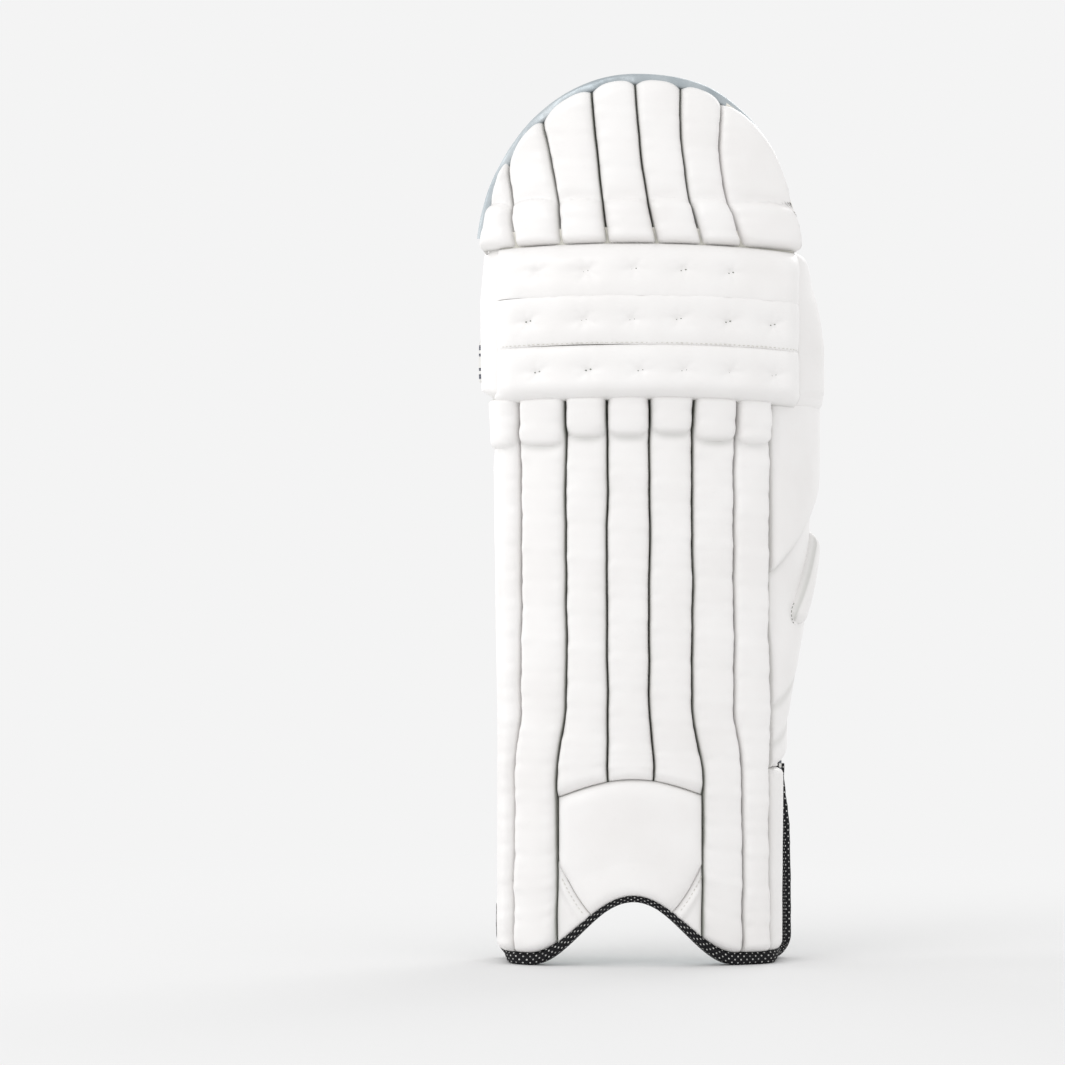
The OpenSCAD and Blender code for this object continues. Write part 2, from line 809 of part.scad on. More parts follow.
// A rectangular loop of round bar
module ring(bar, z, w) {
    half = w / 2 + 3 + bar_r;
    angle = atan2(ring_dir[1], ring_dir[0]);
    color("white")
    translate([bar[0], bar[1], z])
    rotate([0, 0, angle]) {
        for (x = [0, ring_span])
            translate([x, 0, -half])
            cylinder(r = bar_r, h = 2 * half);
        for (end = [-half, half]) {
            translate([0, 0, end])
            rotate([0, 90, 0])
            cylinder(r = bar_r + 0.4, h = ring_span);
            for (x = [0, ring_span])
                translate([x, 0, end])
                sphere(r = bar_r + 0.4);
        }
    }
}
module ring_knee() { ring(ring_knee_at, knee_strap_z, knee_strap_w); }
module ring_calf() { ring(ring_calf_at, calf_strap_z, wide_strap_w); }
module ring_ankle() { ring(ring_ankle_at, ankle_strap_z, wide_strap_w); }

shin_shell();
ankle_side_wall();
shin_roll(1);  // shin_roll_1
shin_roll(2);  // shin_roll_2
shin_roll(3);  // shin_roll_3
shin_roll(4);  // shin_roll_4
shin_roll(5);  // shin_roll_5
shin_roll(6);  // shin_roll_6
shin_roll(7);  // shin_roll_7
shin_canes();
instep_shield();
instep_corners();
ankle_bolster_medial();
ankle_bolster_centre();
ankle_bolster_wing();
shin_bolster_medial();
shin_bolster_centre();
shin_bolster_wing();
bolster_mesh_ends();
hem_binding();
shin_side_panel();
medial_edge_binding();
loop_patches_shin();
wing_panel();
wing_feather(1);  // wing_feather_1
wing_feather(2);  // wing_feather_2
wing_feather(3);  // wing_feather_3
wing_feather(4);  // wing_feather_4
wing_edge_binding();
wing_lining();
tab_calf();
tab_ankle();
knee_shell();
knee_roll(2);  // knee_roll_upper
knee_roll(1);  // knee_roll_middle
knee_roll(0);  // knee_roll_lower
knee_side_medial();
knee_side_wing();
knee_pad_medial();
knee_pad_centre();
knee_pad_wing();
tab_knee();
loop_patch_knee();
top_hat_shell();
top_hat_roll(1);  // top_hat_roll_1
top_hat_roll(2);  // top_hat_roll_2
top_hat_roll(3);  // top_hat_roll_3
top_hat_roll(4);  // top_hat_roll_4
top_hat_roll(5);  // top_hat_roll_5
top_hat_roll(6);  // top_hat_roll_6
top_hat_roll(7);  // top_hat_roll_7
top_hat_lining();
top_hat_piping();
ring_knee();
ring_calf();
ring_ankle();
strap_knee();
strap_calf();
strap_ankle();
strap_label();
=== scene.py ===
import json
import math

import bpy
import numpy as np
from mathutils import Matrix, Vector


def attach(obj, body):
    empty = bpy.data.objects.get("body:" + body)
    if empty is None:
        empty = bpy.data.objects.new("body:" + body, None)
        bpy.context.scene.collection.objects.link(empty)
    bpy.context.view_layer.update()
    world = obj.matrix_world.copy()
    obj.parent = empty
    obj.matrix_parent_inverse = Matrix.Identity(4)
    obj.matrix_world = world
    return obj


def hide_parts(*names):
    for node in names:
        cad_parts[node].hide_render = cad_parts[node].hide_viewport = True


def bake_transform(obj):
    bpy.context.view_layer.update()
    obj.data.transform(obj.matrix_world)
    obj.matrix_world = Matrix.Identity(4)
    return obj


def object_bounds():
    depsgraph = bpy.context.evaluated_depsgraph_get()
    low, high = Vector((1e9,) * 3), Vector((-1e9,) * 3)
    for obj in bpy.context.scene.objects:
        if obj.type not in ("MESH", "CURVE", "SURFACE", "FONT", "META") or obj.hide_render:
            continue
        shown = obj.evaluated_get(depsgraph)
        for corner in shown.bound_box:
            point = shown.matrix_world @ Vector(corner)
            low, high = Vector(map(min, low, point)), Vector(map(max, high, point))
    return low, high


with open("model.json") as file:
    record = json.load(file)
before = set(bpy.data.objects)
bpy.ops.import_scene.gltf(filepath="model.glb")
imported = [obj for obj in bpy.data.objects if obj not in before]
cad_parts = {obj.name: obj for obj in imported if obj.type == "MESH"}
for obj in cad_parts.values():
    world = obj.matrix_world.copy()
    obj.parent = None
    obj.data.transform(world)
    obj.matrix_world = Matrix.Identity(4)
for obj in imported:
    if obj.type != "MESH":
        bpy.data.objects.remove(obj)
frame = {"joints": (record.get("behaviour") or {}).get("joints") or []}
cad_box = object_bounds()

# ---------------------------------------------------------------- sizes
# Everything below is in millimetres on the pad's developed section, as in the CAD model: s runs
# round the leg from the centre line, z runs up and n stands out from the face of the shell.

MM = 0.001
JOINTS = {joint["name"]: joint for joint in frame["joints"]}


def joint_place(name, axis):
    return JOINTS[name]["pos_m"][axis] / MM


PAD_TOP = cad_box[1].z / MM
KNEE_Z = joint_place("knee_flex", 2)
HAT_Z = joint_place("top_hat_flex", 2)
CENTRE_X = -joint_place("knee_flex", 0)
CENTRE_Y = 53
ANKLE_Z = 167
INSTEP_TOP = 141
FRONT_R = 215
ARCH_H = 54
ARCH_HALF = 88
SHELL_T = 4
HINGE_S = 118

MEDIAL_HALF = (
    (0, 18, 222, 443, 478, 484, 560, 606),
    (97, 102.5, 102.5, 107.5, 110, 120, 121, 117),
)
WING_HALF = (
    (0, 18, 205, 256, 307, 358, 409, 478, 520, 560, 606),
    (113, 119, 121, 130, 140, 147, 150, 152, 152, 149, 140),
)
MEDIAL_TURN = ((0, 478, 606), (22, 22, 30))
WING_TURN = ((0, 166, 256, 358, 409, 478, 484, 606), (22, 22, 45, 75, 82, 82, 50, 40))
MEDIAL_EDGE = ((0, 166, 443, 520, 606), (168, 168, 176, 176, 148))
WING_EDGE = ((0, 166, 256, 358, 443, 520, 606), (181, 181, 194, 209, 217, 212, 170))
# How far round the walls turn, in degrees: the ankle stands more open than the calf
MEDIAL_ANGLE = ((0, 45, 125), (91, 91, 104))
WING_ANGLE = ((0, 45, 112, 152), (85, 85, 87, 94))
SET_BACK = ((0, 60, 140, 440, 484, 560, 606, 750), (-8, -3, 0, 0, -6, -8, -4, 4))

SHIN_SEAMS_LOW = (-134, -98, -62.5, -20.5, 16.5, 57, 91, 116)
SHIN_SEAMS_HIGH = (-136, -93, -54.5, -21, 13, 48, 83.5, 116)
# How dark the painted shade makes each seam of the shin: a dark line in the groove and a softer
# shadow beside it
SHIN_SEAM_SHADE = (0.05, 0.07, 0.7, 0.62, 0.62, 0.7, 0.14, 0.12)
# Seams of the top hat, by their place across the pad: near the knee, half way up and at the rim
HAT_SEAMS = (
    (-124, -94.6, -58.1, -21.8, 16.3, 51.9, 84.1, 139),
    (-119, -98.5, -64.5, -28.4, 6.4, 40.3, 71.7, 135),
    (-113, -101.5, -74, -34, 1.6, 39.2, 73, 127),
)
# How dark the painted shade makes each seam of the top hat
HAT_SEAM_SHADE = (0.1, 0.25, 0.4, 0.7, 0.65, 0.5, 0.1, 0)
SIDE_NAMES = {-1: "medial", 1: "wing"}
# The cushions of the leg side: half the middle one's width, the gap beside it, the outer limits of
# the outer ones, and their heights
BOLSTER_MID = 42
BOLSTER_GAP = 4
BOLSTER_MEDIAL = 96
BOLSTER_WING = 110
ANKLE_BOLSTER_ENDS = (11, 149)
MESH_ENDS = (135, 196)
SHIN_BOLSTER_LOWS = {"medial": 171, "centre": 150, "wing": 171}
BOLSTER_CORD_S = 44
KNEE_SEAMS = (KNEE_Z, KNEE_Z + 41, KNEE_Z + 82, HAT_Z - 1)
KNEE_ROLL_MEDIAL = -112
KNEE_ROLL_WING = 141
# Tufts of the knee rolls, lowest roll first, by their place across the pad
TUFTS = (
    (-80.5, -38, 5.5, 42, 81.5, 118),
    (-88, -41.5, -1.5, 37.5, 79, 117),
    (-80, -40, 0, 41.5, 81.5),
)


def along(z, table):
    return np.interp(z, table[0], table[1])


def clamp(t):
    return np.clip(t, 0, 1)


def smooth(t):
    t = clamp(t)
    return t * t * (3 - 2 * t)


def mix(a, b, t):
    return a + (b - a) * t


def ripple(x, seed):
    """A repeatable waver between about -1 and 1."""
    return (
        np.sin(x + 1.7 * seed)
        + 0.6 * np.sin(2.13 * x + 2.9 * seed)
        + 0.4 * np.sin(3.71 * x + 4.3 * seed)
    ) / 2


def waver(x, y, seed):
    """A repeatable waver over a surface."""
    return ripple(x + 1.3 * ripple(0.7 * y, seed), seed + 3) * 0.6 + 0.4 * ripple(
        y + ripple(0.9 * x, seed + 5), seed
    )


def hem_rise(s, z):
    arch = ARCH_H / 2 * (1 + np.cos(np.pi * np.clip(s / ARCH_HALF, -1, 1)))
    return arch * clamp(1 - z / 120)


def section(s, z, n):
    """A point of the shin and knee sections, as an array with x, y and z last."""
    s, z, n = np.broadcast_arrays(np.asarray(s, float), np.asarray(z, float), np.asarray(n, float))
    medial = s < 0
    side = np.where(medial, -1.0, 1.0)
    half = np.where(medial, along(z, MEDIAL_HALF), along(z, WING_HALF))
    r = np.where(medial, along(z, MEDIAL_TURN), along(z, WING_TURN))
    last = np.radians(np.where(medial, along(z, MEDIAL_ANGLE), along(z, WING_ANGLE)))
    a = np.abs(s)
    t1 = np.arcsin((half - r) / (FRONT_R - r))
    s1 = FRONT_R * t1
    s2 = s1 + r * (last - t1)
    front = a < s1
    t = np.where(front, a / FRONT_R, np.minimum(t1 + (a - s1) / r, last))
    wall = np.maximum(0, a - s2)
    x = np.where(front, FRONT_R * np.sin(t), FRONT_R * np.sin(t1) + r * (np.sin(t) - np.sin(t1)))
    y = np.where(
        front,
        FRONT_R * (1 - np.cos(t)),
        FRONT_R * (1 - np.cos(t1)) + r * (np.cos(t1) - np.cos(t)),
    )
    x = side * (x + wall * np.cos(last) + n * np.sin(t)) - CENTRE_X
    y = y + wall * np.sin(last) - n * np.cos(t) + along(z, SET_BACK) - CENTRE_Y
    return np.stack([x, y, z + hem_rise(s, z)], -1)


def hat_section(x, z, n):
    """A point of the top hat, placed by x across the pad from its centre line."""
    x, z, n = np.broadcast_arrays(np.asarray(x, float), np.asarray(z, float), np.asarray(n, float))
    t = np.arcsin(np.clip(x / FRONT_R, -1, 1))
    return np.stack(
        [
            (FRONT_R + n) * np.sin(t) - CENTRE_X,
            FRONT_R - (FRONT_R + n) * np.cos(t) + along(z, SET_BACK) - CENTRE_Y,
            z,
        ],
        -1,
    )


def edge_of(side, z):
    return along(z, MEDIAL_EDGE if side < 0 else WING_EDGE)


# ---------------------------------------------------------------- meshes


def quads(a):
    """The faces of a grid of point numbers."""
    return np.stack([a[:-1, :-1], a[:-1, 1:], a[1:, 1:], a[1:, :-1]], -1).reshape(-1, 4)


def strip(a, b):
    return np.stack([a[:-1], a[1:], b[1:], b[:-1]], -1)


def finish_mesh(name, points, faces, material, sharp=50):
    mesh = bpy.data.meshes.new(name)
    mesh.from_pydata((np.asarray(points) * MM).tolist(), [], np.asarray(faces).tolist())
    mesh.polygons.foreach_set("use_smooth", np.ones(len(mesh.polygons), bool))
    mesh.set_sharp_from_angle(angle=math.radians(sharp))
    mesh.update()
    mesh.materials.append(material)
    piece = bpy.data.objects.new(name, mesh)
    bpy.context.scene.collection.objects.link(piece)
    return piece


def paint(piece, **values):
    """Stores plain numbers on the points, for the materials."""
    for name, value in values.items():
        layer = piece.data.attributes.new(name, "FLOAT", "POINT")
        layer.data.foreach_set("value", np.asarray(value, np.float32).ravel())


def slab(name, outer, inner, material, **values):
    """A closed piece between two grids of points. Its values are painted on both faces."""
    rows, cols = outer.shape[:2]
    a = np.arange(rows * cols).reshape(rows, cols)
    b = a + rows * cols
    faces = np.concatenate(
        [
            quads(a),
            quads(b)[:, ::-1],
            strip(b[0], a[0]),
            strip(a[-1], b[-1]),
            strip(a[:, 0], b[:, 0]),
            strip(b[:, -1], a[:, -1]),
        ]
    )
    points = np.concatenate([outer.reshape(-1, 3), inner.reshape(-1, 3)])
    piece = finish_mesh(name, points, faces, material)
    paint(piece, **{k: np.concatenate([np.ravel(v), np.ravel(v)]) for k, v in values.items()})
    return piece


def loft(name, rings, material, closed=False, **values):
    """A tube through rings of points, capped at its ends unless it is closed on itself."""
    count, around = rings.shape[:2]
    a = np.arange(count * around).reshape(count, around)
    a = np.concatenate([a, a[:, :1]], 1)
    if closed:
        a = np.concatenate([a, a[:1]])
    faces = quads(a).tolist()
    if not closed:
        faces += [a[0, :-1].tolist()[::-1], a[-1, :-1].tolist()]
    mesh_faces = faces
    mesh = bpy.data.meshes.new(name)
    mesh.from_pydata((rings.reshape(-1, 3) * MM).tolist(), [], mesh_faces)
    mesh.polygons.foreach_set("use_smooth", np.ones(len(mesh.polygons), bool))
    mesh.set_sharp_from_angle(angle=math.radians(50))
    mesh.materials.append(material)
    piece = bpy.data.objects.new(name, mesh)
    bpy.context.scene.collection.objects.link(piece)
    paint(piece, **values)
    return piece


def unit(v):
    return v / np.maximum(np.linalg.norm(v, axis=-1, keepdims=True), 1e-9)


def tube(name, path, radius, material, around=10, closed=False, flat=1.0, up=(0, 0, 1)):
    """A round or flattened cord along a path of points."""
    path = np.asarray(path, float)
    if closed:
        ahead, behind = np.roll(path, -1, 0), np.roll(path, 1, 0)
        way = unit(ahead - behind)
    else:
        way = unit(np.gradient(path, axis=0))
    side = unit(np.cross(way, np.asarray(up, float)))
    top = np.cross(side, way)
    t = np.linspace(0, 2 * np.pi, around, endpoint=False)
    radius = np.broadcast_to(np.asarray(radius, float), len(path))[:, None, None]
    rings = path[:, None] + radius * (
        np.cos(t)[None, :, None] * side[:, None] + flat * np.sin(t)[None, :, None] * top[:, None]
    )
    return loft(name, rings[:, ::-1], material, closed)


def stitches(name, path, normal, material, pitch=4.2, length=3.0, radius=0.45, sink=0.1):
    """A row of thread stitches along a path of points, with the surface's normals."""
    path, normal = np.asarray(path, float), np.asarray(normal, float)
    run = np.concatenate([[0], np.cumsum(np.linalg.norm(np.diff(path, axis=0), axis=1))])
    starts = np.arange(pitch / 2, run[-1] - length, pitch)
    t = np.linspace(0, 1, 6)
    swell = np.array([0.25, 0.8, 1, 1, 0.8, 0.25])
    lift = np.sin(np.pi * t)
    angles = np.linspace(0, 2 * np.pi, 6, endpoint=False)
    points, faces = [], []
    cell = np.arange(36).reshape(6, 6)
    cell = np.concatenate([cell, cell[:, :1]], 1)
    cell_faces = np.concatenate([quads(cell)])
    for number, start in enumerate(starts):
        at = start + t * length
        centre = np.stack([np.interp(at, run, path[:, k]) for k in range(3)], -1)
        out = unit(np.stack([np.interp(at, run, normal[:, k]) for k in range(3)], -1))
        side = unit(np.cross(unit(np.gradient(centre, axis=0)), out))
        centre = centre + out * (radius * (lift * 0.9 - 0.2) - sink)[:, None]
        ring = (
            np.cos(angles)[None, :, None] * side[:, None]
            + np.sin(angles)[None, :, None] * out[:, None]
        )
        points.append((centre[:, None] + ring * (radius * swell)[:, None, None]).reshape(-1, 3))
        faces.append(cell_faces + 36 * number)
    piece = finish_mesh(name, np.concatenate(points), np.concatenate(faces), material, sharp=80)
    return piece


# ---------------------------------------------------------------- materials


# The colour of the studio's far wall
STUDIO_WHITE = (0.905, 0.905, 0.905)


class Finish:
    """A Principled material, with short calls for its nodes."""

    def __init__(self, name, **constants):
        self.material = bpy.data.materials.new(name)
        self.material.use_nodes = True
        self.nodes = self.material.node_tree.nodes
        self.links = self.material.node_tree.links
        self.shader = self.nodes["Principled BSDF"]
        for socket, value in constants.items():
            self.put(self.shader, socket.replace("_", " "), value)

    def put(self, node, socket, value):
        if isinstance(value, bpy.types.NodeSocket):
            self.links.new(value, node.inputs[socket])
        elif isinstance(value, tuple) and len(value) == 3 and node.inputs[socket].type == "RGBA":
            node.inputs[socket].default_value = (*value, 1)
        else:
            node.inputs[socket].default_value = value

    def colour(self, value):
        self.put(self.shader, "Base Color", value)

    def node(self, kind, inputs, **settings):
        node = self.nodes.new("ShaderNode" + kind)
        for name, value in settings.items():
            setattr(node, name, value)
        for socket, value in inputs.items():
            self.put(node, socket, value)
        return node

    def math(self, operation, *values):
        return self.node("Math", dict(enumerate(values)), operation=operation).outputs[0]

    def blend(self, factor, a, b):
        node = self.node("Mix", {0: factor, 6: a, 7: b}, data_type="RGBA")
        return node.outputs[2]

    def remap(self, value, a, b, low=0.0, high=1.0):
        return self.node("MapRange", {0: value, 1: a, 2: b, 3: low, 4: high}).outputs[0]

    def places(self, scale=(1, 1, 1)):
        """Object coordinates, scaled along each axis."""
        where = self.node("TexCoord", {}).outputs["Object"]
        return self.node("Mapping", {"Vector": where, "Scale": scale}).outputs[0]

    def noise(self, size_mm, detail=2.0, scale=(1, 1, 1), roughness=0.5):
        return self.node(
            "TexNoise",
            {
                "Vector": self.places(scale),
                "Scale": 1 / (size_mm * MM),
                "Detail": detail,
                "Roughness": roughness,
            },
        ).outputs[0]

    def cells(self, size_mm, scale=(1, 1, 1)):
        return self.node(
            "TexVoronoi", {"Vector": self.places(scale), "Scale": 1 / (size_mm * MM)}
        ).outputs[0]

    def value(self, name):
        return self.node("Attribute", {}, attribute_name=name).outputs["Fac"]

    def dots(self, across, along_, pitch, drop=1.0):
        """Distance from the nearest dot of a staggered lattice, in pitches."""
        def nearest(shift):
            parts = []
            for value, size in ((across, pitch), (along_, pitch * drop)):
                cell = self.math("FRACT", self.math("ADD", self.math("DIVIDE", value, size), shift))
                parts.append(self.math("MULTIPLY", self.math("SUBTRACT", cell, 0.5), size / pitch))
            squares = [self.math("MULTIPLY", part, part) for part in parts]
            return self.math("SQRT", self.math("ADD", *squares))

        return self.math("MINIMUM", nearest(100.0), nearest(100.5))

    def bump(self, height, distance_mm, strength=1.0):
        previous = self.shader.inputs["Normal"]
        inputs = {"Height": height, "Distance": distance_mm * MM, "Strength": strength}
        if previous.links:
            inputs["Normal"] = previous.links[0].from_socket
        self.put(self.shader, "Normal", self.node("Bump", inputs).outputs[0])

    def split(self):
        """The x, y and z of the object coordinates, in millimetres."""
        where = self.node("TexCoord", {}).outputs["Object"]
        parts = self.node("SeparateXYZ", {0: where}).outputs
        return [self.math("MULTIPLY", part, 1 / MM) for part in parts]


def leather(name, light, deep, seam=(0.10, 0.125, 0.075), grain=1.0, roughness=(0.36, 0.5)):
    """Coated leather: fine grain, faint creases, painted shade along the seams and a little wear.
    """
    finish = Finish(name, Specular_IOR_Level=0.45, Coat_Weight=0.12, Coat_Roughness=0.3)
    cloudy = finish.remap(finish.noise(60, 3), 0.35, 0.7)
    base = finish.blend(cloudy, light, deep)
    scuff = finish.remap(finish.noise(9, 5, roughness=0.7), 0.62, 0.78, 0, 0.35)
    base = finish.blend(scuff, base, tuple(0.93 * c for c in deep))
    # Painted shade: the colour darkens towards the given shade colour by the painted values, along
    # seams, edges and under overlaps
    finish.colour(finish.blend(finish.value("seam"), base, seam))
    shine = finish.remap(finish.noise(14, 3), 0.3, 0.75, *roughness)
    finish.put(finish.shader, "Roughness", shine)
    finish.bump(finish.cells(1.1), 0.05, 0.5 * grain)
    finish.bump(finish.noise(0.55, 3), 0.04, 0.45 * grain)
    finish.bump(finish.noise(7, 3, scale=(1, 1, 0.35)), 0.5, 0.16)
    return finish.material


def backing_cloth():
    finish = Finish("backing_cloth", Roughness=0.85, Sheen_Weight=0.2)
    upright, level = (finish.noise(0.8, 1, scale=scale) for scale in ((1, 1, 0.2), (0.2, 0.2, 1)))
    weave = finish.math("ADD", upright, level)
    shade = finish.remap(weave, 0.8, 1.2)
    finish.colour(finish.blend(shade, (0.78, 0.75, 0.68), (0.86, 0.84, 0.78)))
    finish.bump(weave, 0.15, 0.5)
    return finish.material


def mesh_cloth(name, light, deep, hole, pitch, sheen=0.25, depth=0.35):
    """Spacer mesh: a staggered lattice of small holes in a springy knit."""
    finish = Finish(name, Roughness=0.8, Sheen_Weight=sheen)
    x, y, z = finish.split()
    round_leg = finish.math("ADD", x, finish.math("MULTIPLY", y, 0.7))
    away = finish.dots(round_leg, z, pitch, 1.15)
    open_ = finish.remap(away, 0.16, 0.3, 1, 0)
    knit = finish.noise(0.5, 2)
    base = finish.blend(finish.remap(finish.noise(45, 2), 0.35, 0.7), light, deep)
    base = finish.blend(finish.math("MULTIPLY", open_, 0.55), base, hole)
    # Painted shade along the cushion's seams and edges, in the colour of the holes
    base = finish.blend(finish.math("MULTIPLY", finish.value("seam"), 0.8), base, hole)
    finish.colour(base)
    finish.bump(open_, depth, 0.7)
    finish.shader.inputs["Normal"].links[0].from_node.invert = True
    finish.bump(knit, 0.12, 0.4)
    return finish.material


def satin(name, light, deep, metallic=0.75, roughness=(0.3, 0.42)):
    """Silver coated cloth with a fine upright weave."""
    finish = Finish(name, Metallic=metallic, Specular_IOR_Level=0.5)
    cloudy = finish.remap(finish.noise(38, 4, scale=(1, 1, 0.5)), 0.3, 0.72)
    speck = finish.remap(finish.noise(0.9, 2), 0.35, 0.7)
    base = finish.blend(cloudy, light, deep)
    base = finish.blend(finish.math("MULTIPLY", speck, 0.25), base, deep)
    # Painted shade, near black, along the cushions' seams and in the piping's pinched folds
    base = finish.blend(finish.value("seam"), base, (0.035, 0.04, 0.045))
    finish.colour(base)
    finish.put(finish.shader, "Roughness", finish.remap(finish.noise(5, 3), 0.3, 0.7, *roughness))
    finish.bump(finish.noise(0.45, 2, scale=(1, 1, 0.25)), 0.06, 0.5)
    finish.bump(finish.noise(16, 2), 0.8, 0.25)
    return finish.material


def halftone_satin():
    """The lining of the top hat: white satin that turns silver towards the knee, dot by dot."""
    finish = Finish("halftone_satin", Specular_IOR_Level=0.5)
    x, _, z = finish.split()
    start, full = HAT_Z + 66, HAT_Z - 12
    drift = finish.remap(finish.noise(34, 1, scale=(1, 1, 0.3)), 0.3, 0.7, -0.12, 0.12)
    amount = finish.math("ADD", finish.remap(z, start, full, 0.0, 0.92), drift)
    reach = finish.math("MULTIPLY", finish.math("SQRT", finish.math("MAXIMUM", amount, 0.0)), 0.5)
    away = finish.dots(x, z, 6.8, 1.12)
    dot = finish.remap(finish.math("SUBTRACT", reach, away), -0.03, 0.03)
    shown = finish.math("MULTIPLY", dot, finish.remap(amount, 0.02, 0.3))
    wash = finish.remap(z, HAT_Z + 40, HAT_Z - 4, 0.0, 0.35)
    cloudy = finish.remap(finish.noise(22, 3), 0.35, 0.7)
    silver = finish.blend(cloudy, (0.40, 0.45, 0.48), (0.56, 0.60, 0.63))
    white = finish.blend(wash, (0.84, 0.85, 0.85), (0.66, 0.70, 0.73))
    base = finish.blend(shown, white, silver)
    # Painted shade along the lining's lower edge
    finish.colour(finish.blend(finish.value("seam"), base, (0.10, 0.11, 0.12)))
    finish.put(finish.shader, "Metallic", finish.math("MULTIPLY", shown, 0.55))
    finish.put(finish.shader, "Roughness", finish.remap(finish.noise(6, 3), 0.3, 0.7, 0.34, 0.46))
    finish.bump(finish.noise(0.5, 2, scale=(1, 1, 0.3)), 0.05, 0.4)
    finish.bump(finish.noise(24, 2), 0.7, 0.3)
    return finish.material


def perforated_lining():
    """Cream lining with rows of pinholes, which fade out towards the knee."""
    finish = Finish("perforated_lining", Roughness=0.6, Sheen_Weight=0.1)
    x, y, z = finish.split()
    round_leg = finish.math("ADD", x, finish.math("MULTIPLY", y, 0.7))
    away = finish.dots(round_leg, z, 5.0, 0.9)
    hole = finish.math("MULTIPLY", finish.remap(away, 0.07, 0.13, 1, 0), finish.value("holes"))
    cloudy = finish.remap(finish.noise(40, 3), 0.3, 0.7)
    base = finish.blend(cloudy, (0.91, 0.89, 0.84), (0.86, 0.83, 0.77))
    base = finish.blend(finish.math("MULTIPLY", hole, 0.55), base, (0.35, 0.33, 0.28))
    # Painted shade along the seams and edges
    finish.colour(finish.blend(finish.value("seam"), base, (0.22, 0.20, 0.13)))
    finish.bump(finish.math("SUBTRACT", 1.0, hole), 0.25, 0.6)
    finish.bump(finish.noise(0.7, 3), 0.06, 0.4)
    return finish.material


def dotted_tape():
    """Black hem tape with a lattice of small white dots."""
    finish = Finish("dotted_tape", Roughness=0.75, Specular_IOR_Level=0.12)
    away = finish.dots(finish.value("across"), finish.value("along"), 5.4, 1.0)
    dot = finish.remap(away, 0.09, 0.14, 1, 0)
    faded = finish.remap(finish.noise(5, 2), 0.3, 0.6, 0.45, 1.0)
    knit = finish.remap(finish.noise(1.2, 2), 0.3, 0.7)
    base = finish.blend(knit, (0.006, 0.006, 0.007), (0.02, 0.02, 0.022))
    base = finish.blend(finish.math("MULTIPLY", dot, faded), base, (0.72, 0.72, 0.70))
    finish.colour(base)
    finish.bump(dot, 0.2, 0.5)
    finish.bump(finish.noise(0.6, 2), 0.15, 0.5)
    return finish.material


def striped_webbing(name, thick, thin):
    """White ribbed webbing: a broad herringbone stripe and a thin stripe towards each edge."""
    finish = Finish(name, Roughness=0.75, Sheen_Weight=0.15)
    across, run = finish.value("across"), finish.value("along")
    off_centre = finish.math("ABSOLUTE", finish.math("SUBTRACT", across, 0.5))
    from_edge = finish.math("SUBTRACT", 0.5, off_centre)

    def band(low, high):
        return finish.math(
            "MULTIPLY",
            finish.remap(from_edge, low - 0.004, low + 0.004),
            finish.remap(from_edge, high - 0.004, high + 0.004, 1, 0),
        )

    rows = finish.math("MULTIPLY", finish.value("width"), across)
    zigzag = finish.math("PINGPONG", rows, 1.5)
    twill = finish.math("SINE", finish.math("MULTIPLY", finish.math("ADD", run, zigzag), 5.2))
    inked = finish.math("MAXIMUM", band(*thick), band(*thin))
    weave = finish.math("SINE", finish.math("MULTIPLY", run, 4.8))
    ends = finish.math("SINE", finish.math("MULTIPLY", rows, 5.5))
    cord = finish.math("ADD", weave, finish.math("MULTIPLY", ends, 0.6))
    plain = finish.blend(finish.remap(cord, -1.6, 1.6), (0.80, 0.80, 0.78), (0.90, 0.90, 0.88))
    worn = finish.remap(finish.noise(20, 2), 0.3, 0.75, 0, 0.25)
    plain = finish.blend(worn, plain, (0.78, 0.76, 0.70))
    grey = finish.blend(finish.remap(twill, -0.6, 0.6), (0.075, 0.08, 0.105), (0.24, 0.25, 0.29))
    base = finish.blend(inked, plain, grey)
    finish.colour(base)
    finish.bump(cord, 0.12, 0.5)
    finish.bump(finish.math("MULTIPLY", twill, inked), 0.2, 0.5)
    return finish.material


def plastic():
    finish = Finish("ring_plastic", Specular_IOR_Level=0.5, Coat_Weight=0.3, Coat_Roughness=0.12)
    cloudy = finish.remap(finish.noise(9, 2), 0.3, 0.7)
    finish.colour(finish.blend(cloudy, (0.86, 0.86, 0.83), (0.80, 0.80, 0.76)))
    finish.put(finish.shader, "Roughness", finish.remap(finish.noise(3, 3), 0.3, 0.7, 0.22, 0.36))
    finish.bump(finish.noise(1.5, 2), 0.03, 0.3)
    return finish.material


def loop_pile():
    finish = Finish("loop_pile", Roughness=0.95, Sheen_Weight=0.6, Sheen_Roughness=0.5)
    fuzz = finish.noise(0.7, 4, roughness=0.8)
    depth = finish.remap(fuzz, 0.35, 0.65)
    finish.colour(finish.blend(depth, (0.62, 0.62, 0.60), (0.86, 0.86, 0.84)))
    finish.bump(fuzz, 0.5, 0.9)
    return finish.material


def cane_wood():
    finish = Finish("cane_wood", Roughness=0.5)
    grain = finish.noise(2.2, 4, scale=(1, 1, 0.04))
    streak = finish.remap(grain, 0.3, 0.7)
    finish.colour(finish.blend(streak, (0.52, 0.36, 0.18), (0.68, 0.50, 0.28)))
    finish.bump(grain, 0.2, 0.4)
    return finish.material


def thread(name, light, deep):
    finish = Finish(name, Roughness=0.6, Sheen_Weight=0.2)
    twist = finish.math("SINE", finish.math("MULTIPLY", finish.noise(0.5, 1), 20.0))
    finish.colour(finish.blend(finish.remap(twist, -1, 1), light, deep))
    finish.bump(twist, 0.08, 0.5)
    return finish.material


def cord_and_gap_shade():
    finish = Finish("cord_and_gap_shade", Roughness=0.45)
    # Near black: a cord, and painted shade for the gap beside the silver bolster
    finish.colour(finish.blend(finish.noise(3, 2), (0.012, 0.014, 0.016), (0.05, 0.055, 0.06)))
    finish.bump(finish.noise(0.6, 2), 0.05, 0.4)
    return finish.material


